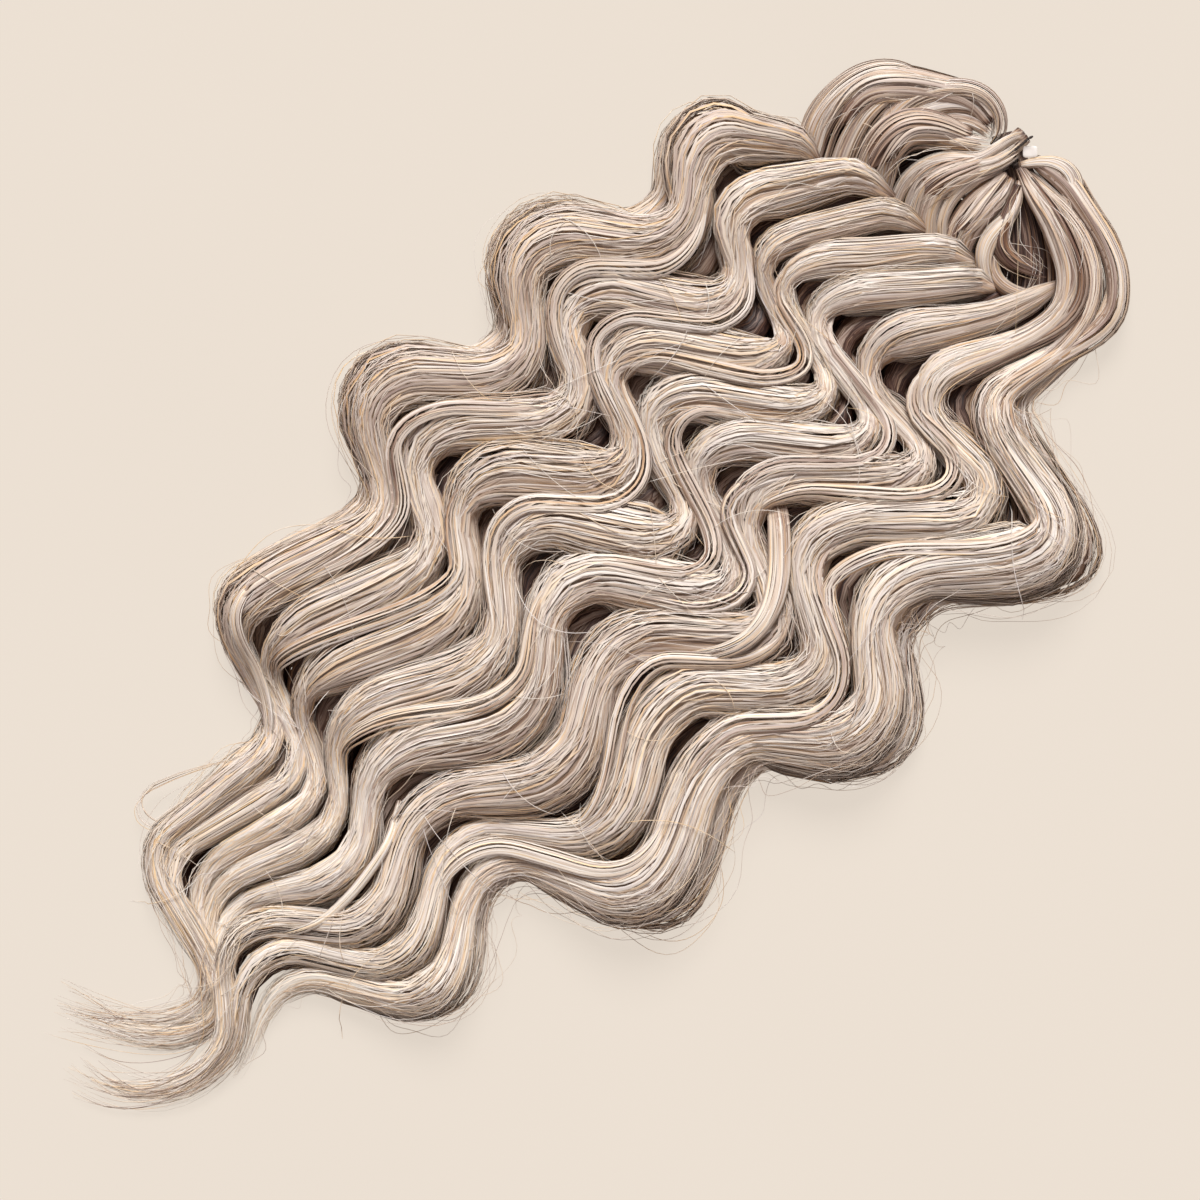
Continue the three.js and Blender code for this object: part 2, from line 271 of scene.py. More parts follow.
def filled(rows):
    """Rings that are no thinner than a wisp, apart from the last few."""
    ends = np.clip((len(rows) - np.arange(len(rows))) / 6, 0.25, 1)
    fuller = rows.copy()
    fuller[:, HEIGHT] = np.maximum(fuller[:, HEIGHT], WISP_MIDDLE * ends)
    fuller[:, HALF_WIDTH] = np.maximum(fuller[:, HALF_WIDTH], WISP_HALF_WIDTH * ends)
    fuller[:, HALF_HEIGHT] = np.maximum(fuller[:, HALF_HEIGHT], WISP_HALF_HEIGHT * ends)
    return fuller


far_tip, near_tip = rings["upper_lock_2"].copy(), rings["upper_lock_6"].copy()
for name, share in TIP_OF.items():
    own = rings[name]
    onward = slice(len(own) + 1, len(own) + 7)
    rings[name] = np.concatenate([own, far_tip[onward] + share * (near_tip[onward] - far_tip[onward])])
near_tip[-GATHERED:, :2] -= DROOP[:, None] * PICTURE_UP
for number, name in enumerate(UPPER[:7]):
    lead = far_tip if number < 3 else near_tip
    share = 0.8 * (np.arange(1, GATHERED + 1) / GATHERED)[:, None] ** 1.5
    rings[name][-GATHERED:, :2] += share * (lead[-GATHERED:, :2] - rings[name][-GATHERED:, :2])
rings.update({name: filled(rings[name]) for name in UPPER})
print("rings along the upper locks:", [len(rings[name]) for name in UPPER])

# %% [markdown]
# ## Where the locks start
# On the real bundle each lock comes out from under the hair of the head, some as a full round end and
# some as a narrow one. So the first ring of a lock gives way to three that run on, turn aside and dive.
# How far, how much and how full is chosen for each lock.

# %% Tuck the starts under the head
# Of each lock: how far its start runs on in mm, how it turns aside in degrees, how high it stays, and how
# full its end is, from 0 for a point to 1.
STARTS = {1: (15, -18, 1.0, 0.0), 2: (27, -18, 1.2, 0.3), 3: (25, -18, 1.15, 0.5), 4: (25, -12, 1.0, 1.0),
          5: (15, -10, 1.0, 1.0), 6: (28, 1, 0.8, 0.0), 7: (15, 0, 1.0, 0.0), 8: (15, 0, 1.0, 0.0),
          9: (15, 0, 1.0, 0.0)}
LOWER_START = 15


def along_of(points):
    """Unit directions along rows of points."""
    ways = np.gradient(points, axis=-2)
    return ways / np.maximum(np.linalg.norm(ways, axis=-1, keepdims=True), 1e-9)


def sunk_start(rows, longer, turn, lift, full):
    """A lock's rings, with three in place of the first that run on, turn aside and dive."""
    way = -along_of(rows[:3, :2])[1]
    rows = rows[1:]
    reach = (1.0, 0.85, 0.45)
    bent = (2, 1.8, 1)
    size = (0.12 + 0.33 * full, 0.32 + 0.43 * full, 0.8 + 0.15 * full)
    height = (0.75 - 0.4 * full, 0.85, 1.0)
    starts = []
    for far, turns, share, high in zip(reach, bent, size, height):
        angle = math.radians(turns * turn)
        turned = np.array([way[0] * math.cos(angle) - way[1] * math.sin(angle),
                           way[0] * math.sin(angle) + way[1] * math.cos(angle)])
        spot = rows[0, :2] + far * longer * MM * turned
        starts.append([*spot, lift * high * rows[0, HEIGHT], *(share * rows[0, HALF_WIDTH:])])
    return np.concatenate([starts, rows])


tucked = {}
for name in LOWER + UPPER:
    longer, turn, lift, full = STARTS[int(name[-1])]
    tucked[name] = sunk_start(rings[name], longer if name in UPPER else LOWER_START, turn, lift, full)
print(len(tucked), "locks start under the head")

# %% [markdown]
# ## Smooth courses
# Between the rings a smooth curve carries the middle and the sizes on. It is cut into even steps, its
# corners are rounded off, and bends that are tighter than a lock of hair can turn are opened out. A curve
# object would give the same line, but here its bends have to be known. How sharp each bend is, how each
# leg swings and how level the leg lies in the picture are kept with the course, because the hair spreads
# on the level legs, bunches on the others and parts at the inside of the bends.

# %% Curves through the rings
STEP = 1 * MM
ROUNDING = np.hanning(17)[1:-1] / np.hanning(17)[1:-1].sum()


def through(rows, t):
    """Values at places t, counted in rings, on a smooth curve through the rows."""
    gaps = np.maximum(np.linalg.norm(np.diff(rows[:, :3], axis=0), axis=1), 1e-5)[:, None]
    steps = np.diff(rows, axis=0) / gaps
    slopes = np.concatenate([steps[:1], np.zeros_like(steps[1:]), steps[-1:]])
    slopes[1:-1] = (steps[:-1] * gaps[1:] + steps[1:] * gaps[:-1]) / (gaps[:-1] + gaps[1:])
    t = np.clip(t, 0, len(rows) - 1 - 1e-9)
    i = t.astype(int)
    f, gap = (t - i)[:, None], gaps[i]
    ma, mb = slopes[i] * gap, slopes[i + 1] * gap
    return ((1 + 2 * f) * (1 - f) ** 2 * rows[i] + f * (1 - f) ** 2 * ma
            + f * f * (3 - 2 * f) * rows[i + 1] - f * f * (1 - f) * mb)


def rounded(values):
    """A row of values with its corners rounded off."""
    return np.convolve(run_on(values, len(ROUNDING) // 2), ROUNDING, mode="valid")


def even_steps(rows):
    """Rows of values, as even steps along their first three columns."""
    run = np.concatenate([[0], np.cumsum(np.linalg.norm(np.diff(rows[:, :3], axis=0), axis=1))])
    even = np.arange(0, run[-1], STEP)
    return np.column_stack([np.interp(even, run, column) for column in rows.T])


print("corners are rounded off over", round(len(ROUNDING) * STEP / MM), "mm")

# %% Open out the bends
BEND, CURVATURE = 5, 8
TIGHTEST = 8.5 * MM
FULL_BEND = 12 * MM
EASING_ROUNDS = 60
LEVEL_WAY = np.array([math.cos(math.radians(PICTURE_TURN)), math.sin(math.radians(PICTURE_TURN))])


def heading_of(rows):
    """The direction in plan at each step, in radians."""
    ways = along_of(rows[:, :2])
    return np.unwrap(np.arctan2(ways[:, 1], ways[:, 0]))


def eased(rows):
    """Even steps whose bends are opened out where they are tighter than hair can turn."""
    for again in range(EASING_ROUNDS):
        tight = np.clip(np.abs(np.gradient(heading_of(rows))) / STEP * TIGHTEST - 1, 0, 1)
        near = np.clip(np.convolve(tight, np.ones(7) / 3, mode="same"), 0, 1)[3:-3, None]
        rows[3:-3, :2] += 0.5 * near * ((rows[6:, :2] + rows[:-6, :2]) / 2 - rows[3:-3, :2])
    return even_steps(rows)


def course_of(rows):
    """Even steps along rings: x, y, z, half width, half height, bend, swing, level and curvature."""
    fine = even_steps(through(rows, np.linspace(0, len(rows) - 1, 20 * len(rows))))
    fine = eased(np.column_stack([rounded(column) for column in fine.T]))
    fine[:, HALF_WIDTH:] = np.maximum(fine[:, HALF_WIDTH:], 0.3 * MM)
    ways = along_of(fine[:, :3])
    heading = heading_of(fine)
    curvature = rounded(np.gradient(heading)) / STEP
    bend = np.clip(curvature * FULL_BEND, -1, 1)
    swing = np.sin(heading - heading.mean())
    level = (ways[:, :2] @ LEVEL_WAY) ** 2
    return np.column_stack([fine, bend, swing / np.abs(swing).max(), level, curvature])


courses = {name: course_of(rows) for name, rows in tucked.items()}
courses.update({name: course_of(rings[name]) for name in HEAD})
print("lengths in mm:", {n: round(len(c) * STEP / MM) for n, c in courses.items()})
print("tightest bends in mm:",
      {n: round(1 / np.abs(c[:, CURVATURE]).max() / MM, 1) for n, c in courses.items()})

# %% [markdown]
# ## Tufts as meshes
# Blender has hair curves, but they don't leave it as a mesh. So each tuft is a thin closed tube, three
# sided and smooth shaded. Each point carries its tone, its warmth and its place along and across the tuft
# for the material, and each tuft has a column of its own in a UV map, so a texture of it can be drawn.

# %% A column for each tuft
def tube_uv(count, points, sides):
    """UV places for the corners of the tubes' faces, first on the sides and then on the caps."""
    low = np.arange(points - 1)[None, :, None] / (points - 1)
    left = (np.arange(count)[:, None, None] + np.arange(sides) / sides) / count
    low, left = np.broadcast_arrays(low, left)
    right, high = left + 1 / sides / count, low + 1 / (points - 1)
    quad_uv = np.stack([left, low, left, high, right, high, right, low], axis=-1).reshape(-1, 2)
    cap_u = (np.arange(count)[:, None] + (np.arange(sides) + 0.5) / sides) / count
    cap_uv = [np.stack([cap_u, np.full_like(cap_u, end)], -1).reshape(-1, 2) for end in (0.0, 1.0)]
    return np.concatenate([quad_uv, *cap_uv])


print("one tuft of 80 points has", len(tube_uv(1, 80, 3)), "UV places")

# %% Tubes from arrays
def aside_of(ways):
    """Level directions to the right of the ways, as long as the ways are in plan."""
    return np.stack([ways[..., 1], -ways[..., 0], np.zeros(ways.shape[:-1])], axis=-1)


def tubes(paths, wide, tall, tone, warmth, sides=3, lean=None, round_off=1.0):
    """Closed tubes along rows of points. wide and tall are half sizes, lean tips the wide side over, and
    round_off is how round the tube is shaded across: 1 as a rod, near 0 as a flat sheet."""
    count, points = paths.shape[:2]
    ways = along_of(paths)
    aside = aside_of(ways)
    aside /= np.maximum(np.linalg.norm(aside, axis=-1, keepdims=True), 1e-9)
    rise = np.cross(aside, ways)
    if lean is not None:
        cos, sin = np.cos(lean)[..., None], np.sin(lean)[..., None]
        aside, rise = cos * aside + sin * rise, cos * rise - sin * aside
    angle = np.pi / 6 + 2 * np.pi * np.arange(sides) / sides
    cos, sin = np.cos(angle)[:, None], np.sin(angle)[:, None]
    corners = (paths[:, :, None] + wide[..., None, None] * cos * aside[:, :, None]
               + tall[..., None, None] * sin * rise[:, :, None])
    corners[..., 2] = np.maximum(corners[..., 2], 0.02 * MM)
    normals = round_off * cos * aside[:, :, None] + sin * rise[:, :, None]
    normals /= np.linalg.norm(normals, axis=-1, keepdims=True)
    index = np.arange(count * points * sides).reshape(count, points, sides)
    after = np.roll(index, -1, axis=2)
    quads = np.stack([index[:, :-1], index[:, 1:], after[:, 1:], after[:, :-1]], axis=-1).reshape(-1, 4)
    caps = np.concatenate([index[:, 0], index[:, -1, ::-1]])
    run = np.zeros((count, points, 1))
    run[:, 1:, 0] = np.cumsum(np.linalg.norm(np.diff(paths, axis=1), axis=2), axis=1)
    number = np.arange(count)[:, None, None]
    lie = np.stack(np.broadcast_arrays(number * 1.0, wide[..., None] * cos[:, 0] / MM, run / MM), axis=-1)
    return {
        "corners": corners.reshape(-1, 3), "normals": normals.reshape(-1, 3),
        "quads": quads, "caps": caps, "sides": sides,
        "tone": np.repeat(tone.ravel(), sides), "warmth": np.repeat(warmth.ravel(), sides),
        "lie": lie.reshape(-1, 3), "uv": tube_uv(count, points, sides),
    }


print("one tuft of 80 points has", 6 * 79 + 2, "triangles")

# %% [markdown]
# All the tubes of a lock become one mesh. Adding their faces one by one would take minutes, so the
# corners, the faces and what each point carries are put in as whole arrays.

# %% Join tubes into a piece
POINT_VALUES = ("tone", "warmth")


def joined_piece(name, sets, material):
    """One mesh object of several sets of tubes, each with a part of the UV map's width."""
    at, column, faces, sizes, uv = 0, 0.0, [], [], []
    total = sum(len(made["quads"]) for made in sets)
    for made in sets:
        share = len(made["quads"]) / total
        faces += [(made["quads"] + at).ravel(), (made["caps"] + at).ravel()]
        sizes += [np.full(len(made["quads"]), 4), np.full(len(made["caps"]), made["sides"])]
        uv.append(made["uv"] * [share, 1.0] + [column, 0.0])
        at, column = at + len(made["corners"]), column + share
    sizes, faces = np.concatenate(sizes), np.concatenate(faces).astype(np.int32)
    mesh = bpy.data.meshes.new(name)
    mesh.vertices.add(at)
    mesh.vertices.foreach_set("co", np.concatenate([m["corners"] for m in sets]).astype(np.float32).ravel())
    mesh.loops.add(len(faces))
    mesh.loops.foreach_set("vertex_index", faces)
    mesh.polygons.add(len(sizes))
    mesh.polygons.foreach_set("loop_start", (np.cumsum(sizes) - sizes).astype(np.int32))
    mesh.polygons.foreach_set("use_smooth", np.ones(len(sizes), dtype=bool))
    mesh.uv_layers.new(name="OFBake").data.foreach_set("uv", np.concatenate(uv).astype(np.float32).ravel())
    for label in POINT_VALUES:
        values = np.concatenate([m[label] for m in sets]).astype(np.float32)
        mesh.attributes.new(label, "FLOAT", "POINT").data.foreach_set("value", values)
    lie = np.concatenate([m["lie"] for m in sets]).astype(np.float32)
    mesh.attributes.new("lie", "FLOAT_VECTOR", "POINT").data.foreach_set("vector", lie.ravel())
    mesh.update(calc_edges=True)
    mesh.normals_split_custom_set_from_vertices(np.concatenate([m["normals"] for m in sets]))
    mesh.materials.append(material)
    piece = bpy.data.objects.new(name, mesh)
    scene.collection.objects.link(piece)
    piece["triangles"] = int((sizes - 2).sum())
    return piece


print("each point carries its", " and ".join(POINT_VALUES), "and how it lies in its tuft")

# %% [markdown]
# ## Modacrylic fibre
# Braiding hair is spun from modacrylic, a plastic fibre that is dyed in several shades and blended:
# cream, ash, taupe and some tan in this bundle. To the eye that gives a soft gloss along each tuft and
# fine streaks of colour that run with the fibre. A tuft's tone, which also carries painted shade and
# shine, picks its colour from a ramp of dye colours whose dark end stands mostly for shade, fine streaks
# shift it, warmth pulls it towards tan, and a shallow bump runs along the tuft. Single fibres are far
# finer than a pixel here, so the streaks are drawn 0.4 mm wide, as coarse as they need to be to show, and
# 13 mm long.

# %% Fibre colour
STREAK_WIDTH, STREAK_LENGTH = 0.40, 13.0
STREAK_SHIFT = 0.21
# Dye colours of the fibre; the dark end of the ramp is used for painted shade.
DYES_AND_SHADES = [(0.0, "#2A1512"), (0.16, "#63463A"), (0.34, "#A58A79"), (0.52, "#CDB8A8"), (0.74, "#E6D8CA"),
        (1.0, "#F8F0E7")]

modacrylic_fibre, tree = new_material("modacrylic_fibre")
tone = add_node(tree, "ShaderNodeAttribute", attribute_name="tone")
warmth = add_node(tree, "ShaderNodeAttribute", attribute_name="warmth")
lie = add_node(tree, "ShaderNodeAttribute", attribute_name="lie")
spun = add_node(tree, "ShaderNodeVectorMath",
                {0: (lie, "Vector"), 1: (7.31, 1 / STREAK_WIDTH, 1 / STREAK_LENGTH)}, operation="MULTIPLY")
streaks = add_node(tree, "ShaderNodeTexNoise", {"Vector": (spun, "Vector"), "Scale": 1.0, "Detail": 2.0})
shift = add_node(tree, "ShaderNodeMapRange",
                 {"Value": (streaks, "Fac"), "From Min": 0.25, "From Max": 0.75,
                  "To Min": -STREAK_SHIFT, "To Max": STREAK_SHIFT})
shaded = add_node(tree, "ShaderNodeMath", {0: (tone, "Fac"), 1: (shift, "Result")}, operation="ADD")
ramp = add_node(tree, "ShaderNodeValToRGB", {"Fac": (shaded, "Value")})
while len(ramp.color_ramp.elements) < len(DYES_AND_SHADES):
    ramp.color_ramp.elements.new(0.5)
for stop, (place, dye) in zip(ramp.color_ramp.elements, DYES_AND_SHADES):
    stop.position, stop.color = place, linear(dye)
blend = add_node(tree, "ShaderNodeVectorMath", {0: (spun, "Vector"), 1: (3.7, 11.3, 5.1)}, operation="ADD")
strands = add_node(tree, "ShaderNodeTexNoise", {"Vector": (blend, "Vector"), "Scale": 0.8, "Detail": 1.0})
mixed = add_node(tree, "ShaderNodeMath",
                 {0: (strands, "Fac"), 1: 1.3, 2: (warmth, "Fac")}, operation="MULTIPLY_ADD")
hues = add_node(tree, "ShaderNodeValToRGB", {"Fac": (mixed, "Value")})
for stop, hue in zip(hues.color_ramp.elements, ("#E5E3E9", "#F9E1BA")):
    stop.color = linear(hue)
hues.color_ramp.elements.new(0.55).color = linear("#F8F9F8")
tan = add_node(tree, "ShaderNodeMix", {"Factor": 1.0, 6: (ramp, "Color"), 7: (hues, "Color")},
               data_type="RGBA", blend_type="MULTIPLY")
print("shades from", DYES_AND_SHADES[0][1], "to", DYES_AND_SHADES[-1][1])

# %% Fibre gloss
FURROW = 0.1 * MM
furrows = add_node(tree, "ShaderNodeBump",
                   {"Height": (streaks, "Fac"), "Strength": 0.3, "Distance": FURROW})
gloss = add_node(tree, "ShaderNodeMapRange",
                 {"Value": (streaks, "Fac"), "From Min": 0.2, "From Max": 0.8,
                  "To Min": 0.46, "To Max": 0.60})
fibre = add_node(tree, "ShaderNodeBsdfPrincipled",
                 {"Base Color": (tan, 2), "Roughness": (gloss, "Result"), "IOR": 1.52,
                  "Normal": (furrows, "Normal")})
add_node(tree, "ShaderNodeOutputMaterial", {"Surface": (fibre, "BSDF")})
print(modacrylic_fibre.name, "with", len(tree.nodes), "nodes")

# %% [markdown]
# ## Combing the locks
# The skin of a lock is a sheet of tufts side by side, with finer tufts over it that cross at small
# angles. Everything drifts a little as it runs. The drift is a sum of long waves with random sizes from a
# seeded generator, so each run gives the same hair. Noise from a texture would drift too, but not as
# smoothly.

# %% Drift and stations
def wander(rng, rows, run, waves):
    """A slow random drift along each row, mostly within one unit each way. waves are lengths in mm."""
    drift = np.zeros((rows, run.shape[-1]))
    for wave in waves:
        size, phase = rng.normal(0, 0.6, (rows, 1)), rng.uniform(0, 2 * np.pi, (rows, 1))
        drift += size * np.sin(2 * np.pi * run / (wave * MM) + phase)
    return drift


def stations(course, points):
    """Places along a lock from 0 to 1, closer together where it bends."""
    weight = np.concatenate([[0], np.cumsum(0.35 + np.abs(course[1:, BEND]))])
    return np.interp(np.linspace(0, weight[-1], points), weight, np.linspace(0, 1, len(weight)))


def rows_at(course, place):
    """Rows of a course at places along it, counted in steps."""
    return np.stack([np.interp(place, np.arange(len(course)), column) for column in course.T], axis=-1)


apart = np.diff(stations(courses["upper_lock_4"], 80)) * len(courses["upper_lock_4"]) * STEP / MM
print("points along a tuft are", round(apart.min(), 1), "to", round(apart.max(), 1), "mm apart")

# %% [markdown]
# The sheet parts into a few bands with a crease between them. A band drifts as one, and some bands stand
# a little prouder than others. That is what makes a lock look combed and not turned on a lathe.

# %% Bands round a lock
CREASE = 0.22
BAND_DRIFT, TUFT_DRIFT, LOOSE_DRIFT = 9, 2.5, 9
BAND_PROUD, LOOSE_PROUD = 0.06, 0.05


def skin(rng, rows, run, bands, arc, loose):
    """Where tufts lie round a lock: each one's band, angle, crease beside it and how far out it is."""
    order = (np.arange(rows) + rng.uniform(0, 1, rows)) / rows
    cuts = (np.arange(1, bands) + rng.uniform(-0.2, 0.2, bands - 1)) / bands
    edges = np.concatenate([[0], cuts, [1]])
    band = np.searchsorted(cuts, order)
    within = 2 * (order - edges[band]) / (edges[band + 1] - edges[band]) - 1
    angle = arc[0] + (arc[1] - arc[0]) * order[:, None]
    angle = angle + BAND_DRIFT * wander(rng, bands, run, (420, 230))[band]
    angle = angle + (TUFT_DRIFT + LOOSE_DRIFT * loose) * wander(rng, rows, run, (260, 110))
    crease = CREASE * within[:, None] ** 6 * (1 + 0.5 * wander(rng, bands, run, (300, 150))[band])
    out = 1 - crease + BAND_PROUD * wander(rng, bands, run, (380, 170))[band]
    out = out + rng.normal(0, 0.02, (rows, 1))
    out = out + loose * (LOOSE_PROUD + LOOSE_PROUD * wander(rng, rows, run, (190, 90)))
    return band, np.radians(angle), crease, out


print("creases are up to", round(CREASE * 8, 1), "mm deep in a lock 16 mm wide")

# %% [markdown]
# The tufts then follow the course of the lock. Bands follow the crimp more or less fully than their
# neighbours, which opens narrow dark gaps at the bends. At the inside of a bend the tufts crowd, on the
# level legs they spread, and the upper edge of those legs tips up to the light. Shade is painted into the
# flanks, less on the one that faces the light, into the creases, the insides of the crests and the tucked
# starts, and a painted shine onto the level legs. The tips take a lighter dye, as they have on the real
# bundle.

# %% Comb one lock
TIP_FROM, TIP_TO = -70 * MM, -205 * MM
CROWDED, SQUEEZE = 0.4, 0.28
UNEVEN_BAND, UNEVEN_TUFT, UNEVEN_LOOSE = 0.12, 0.03, 0.1
BAND_TONES, TIP_LIGHTER, LEVEL_PAINTED_SHINE, CREASE_PAINTED_SHADE, START_PAINTED_SHADE = 0.08, 0.21, 0.08, 0.7, 0.45
SHEET_SHADED = 0.15


def comb(course, rng, rows, points, wide, tall, bands=4, arc=(-40, 220), loose=0.0, spread=0.0, tilt=0.0,
         gap=0.0, side=0.22, tint=0.68, vary=0.075, stagger=0.05, fan=0.0, thin_end=0.08, shaded_start=0.0):
    """Tufts over the skin of a lock. loose lets them stand off and cross, spread widens the level legs,
    tilt lifts the upper edge of those, gap parts the tufts under the crests and paints shade inside them,
    and side is how much shade is painted on the flanks. stagger is how unevenly the tufts end and fan how
    far the ends part. The last argument is how long a start is painted in shade, where the tuft comes out
    from under other hair."""
    reach = (len(course) - 1) * STEP
    s = stations(course, points)[None]
    run = reach * s
    place = run * (1 - stagger * rng.uniform(0, 1, (rows, 1)) ** 1.2) / STEP
    here = rows_at(course, place)
    ways = along_of(here[..., :3])
    bend, swing, level, curvature = np.moveaxis(here[..., BEND:], -1, 0)

    band, angle, crease, out = skin(rng, rows, run, bands, arc, loose)
    across, height = out * np.cos(angle), out * np.sin(angle)

    uneven = UNEVEN_TUFT + UNEVEN_LOOSE * loose
    follow, lag = (rng.normal(0, UNEVEN_BAND, bands)[band][:, None] + rng.normal(0, uneven, (rows, 1))
                   for share in range(2))
    inside = np.clip(-across * bend, 0, 1)
    across = across * (1 + spread * (level - 0.3)) * (1 - (0.2 + gap * (bend > 0)) * inside)
    across = across + follow * bend + lag * swing
    tight = np.maximum(-across * here[..., HALF_WIDTH] * curvature, 1e-6)
    crowded = CROWDED + SQUEEZE * np.tanh((tight - CROWDED) / SQUEEZE)
    across = across * np.where(tight > CROWDED, crowded, tight) / tight
    aside = aside_of(ways)
    aside /= np.linalg.norm(aside, axis=-1, keepdims=True)
    end = np.clip((s - 0.84) / 0.16, 0, 1) ** 1.5
    flare = fan * MM * end * rng.normal(0, 1, (rows, 1))
    paths = here[..., :3] + (across * here[..., HALF_WIDTH] + flare)[..., None] * aside
    raised = tilt * MM * level * np.clip(here[..., HALF_WIDTH] / (5 * MM), 0, 1)
    paths[..., HEIGHT] += height * here[..., HALF_HEIGHT] + raised * across

    taper = np.clip((1 - s) / thin_end, 0.15, 1) * np.clip(s / 0.04, 0.4, 1)
    size = rng.uniform(0.75, 1.25, (rows, 1)) * taper
    size = size * np.clip(1 + 0.15 * wander(rng, rows, run, (90,)), 0.6, 1.4)
    paths[..., HEIGHT] = np.maximum(paths[..., HEIGHT], tall * size)
    lean = np.arctan2(-here[..., HALF_HEIGHT] * np.cos(angle), here[..., HALF_WIDTH] * np.sin(angle))
    lean = lean + rng.normal(0, 0.15, (rows, 1)) + np.arctan2(raised, here[..., HALF_WIDTH])

    # Tone: random by band and tuft, with painted shade in the creases, on the flanks, inside the crests and
    # at a tucked start, a painted shine on the level legs, and a lighter dye towards the tips.
    tone = (tint + rng.normal(0, BAND_TONES, bands)[band][:, None] + rng.normal(0, vary, (rows, 1))
            + 0.05 * wander(rng, rows, run, (160, 70)) - CREASE_PAINTED_SHADE * crease
            - side * np.clip(0.35 - height, 0, 1) * (0.6 - 0.4 * level * np.clip(across, -1, 1))
            + LEVEL_PAINTED_SHINE * (level - 0.6) - 0.25 * gap * np.clip(bend, 0, 1) * np.clip(-across, 0, 1))
    to_tip = np.clip((paths[..., 0] - TIP_FROM) / (TIP_TO - TIP_FROM), 0, 1)
    tone = tone + TIP_LIGHTER * to_tip - START_PAINTED_SHADE * np.clip(1 - s / max(shaded_start, 1e-6), 0, 1)
    warm = rng.normal(0, 0.16, (rows, 1)) + 0.06 * wander(rng, rows, run, (240,)) - 0.13 + 0.12 * to_tip
    return tubes(paths, wide * size, tall * size, np.clip(tone, 0.04, 1), warm, 3, lean, SHEET_SHADED)


print("tufts get lighter from", round(TIP_FROM / MM), "to", round(TIP_TO / MM), "mm along the bundle")

# %% [markdown]
# Between the tufts one looks into the depth of a lock, which is more hair in its own shade. Filling it
# with tufts would cost millions of faces that nobody sees, so a plain closed body painted dark as shade
# stands for it.

# %% The inside of a lock
INSIDE_STEP = 8


def shade(course, fill, stop, tone=0.22, low=False):
    """The inside of a lock, one closed body of painted shade that ends before the tufts do. A low one lies
    on the floor as a sheet of painted shade.
    """
    rings_along = max(12, len(course) // INSIDE_STEP)
    place = stop * (len(course) - 1) * stations(course, rings_along)[None]
    here = rows_at(course, place)
    thin = np.clip((1 - place / place.max()) / 0.1, 0.1, 1)
    wide = fill * thin * here[..., HALF_WIDTH]
    tall = (0.2 if low else 1.0) * fill * thin * here[..., HALF_HEIGHT]
    middle = here[..., :3].copy()
    middle[..., HEIGHT] = tall + 0.2 * MM if low else np.maximum(middle[..., HEIGHT], tall + 0.2 * MM)
    return tubes(middle, wide, tall, np.full(place.shape, tone), np.zeros(place.shape), 8)


print("the inside of a lock has a ring every", INSIDE_STEP, "mm")

# %% [markdown]
# ## Straying wisps
# Not every wisp keeps to its lock. Here and there one lifts off, crosses to the next lock within a wave
# or two and joins it. The rings of two locks belong to the same folds of the crimp, so a wisp can pass
# from the skin of one to the skin of the other by blending their rings. It becomes part of the lock that
# it leaves.

# %% Wisps that change locks
WISP_WIDE, WISP_TALL = 3.0 * MM, 1.3 * MM


def wisp_rings(one, other, begin, end, from_angle, to_angle):
    """Rings of a wisp that goes over from the skin of one lock to the skin of another."""
    place = np.arange(begin, end + 1)
    share = 0.5 - 0.5 * np.cos(np.pi * np.clip((place - begin - 1) / (end - begin - 2), 0, 1))
    sides = []
    for lock, angle in ((one, from_angle), (other, to_angle)):
        rows = rings[lock][begin : end + 1]
        ways = along_of(rows[:, :3])
        out = rows[:, HALF_WIDTH] * math.cos(math.radians(angle))
        spot = rows[:, :3] + out[:, None] * aside_of(ways)
        spot[:, HEIGHT] += rows[:, HALF_HEIGHT] * math.sin(math.radians(angle))
        sides.append(spot)
    middle = sides[0] + share[:, None] * (sides[1] - sides[0])
    middle[:, HEIGHT] += np.sin(np.pi * (place - begin) / (end - begin)) * 0.8 * MM
    thin = np.clip(np.minimum(place - begin, end - place) / 4, 0.12, 1)
    middle[:, HEIGHT] -= 3 * MM * (1 - thin)
    return np.column_stack([middle, WISP_WIDE * thin, WISP_TALL * thin])


# Of each wisp: the lock that it leaves, the one that it joins, its first and last ring, and its places
# round both locks in degrees.
WISPS = [
    (1, 2, 5, 17, 120, 70), (2, 1, 14, 28, 60, 110), (2, 3, 4, 18, 110, 60), (3, 4, 12, 26, 120, 80),
    (4, 3, 2, 14, 60, 110), (4, 5, 8, 22, 120, 60), (5, 6, 3, 16, 110, 70), (5, 4, 18, 32, 60, 120),
    (6, 5, 8, 20, 70, 110), (6, 7, 14, 28, 120, 60), (7, 6, 2, 14, 60, 110), (7, 8, 10, 24, 110, 70),
    (8, 7, 4, 18, 70, 120), (3, 2, 18, 32, 70, 110), (8, 7, 20, 32, 60, 100),
]
wisps_of = {name: [] for name in UPPER}
for number, (one, other, *course_of_wisp) in enumerate(WISPS):
    rng = np.random.default_rng(300 + number)
    rows = wisp_rings(f"upper_lock_{one}", f"upper_lock_{other}", *course_of_wisp)
    wisps_of[f"upper_lock_{one}"].append(
        comb(course_of(rows), rng, 12, 36, 0.40 * MM, 0.22 * MM, bands=2, arc=(-30, 210), tint=0.72,
             vary=0.12, stagger=0.15, thin_end=0.25))
print(len(WISPS), "wisps change locks")

# %% [markdown]
# Three wisps lie on top of the locks in plain sight. A thick one comes up out of a dark gap in the
# middle, crosses a lock and turns back into the hair, and two thin ones lie further down. Their ways in
# plan are chosen over the solids, in millimetres. Dropping them in a simulation could settle their
# heights. Taking the highest skin below each place is quicker, and their ends can then sink into the
# hair as far as they should.

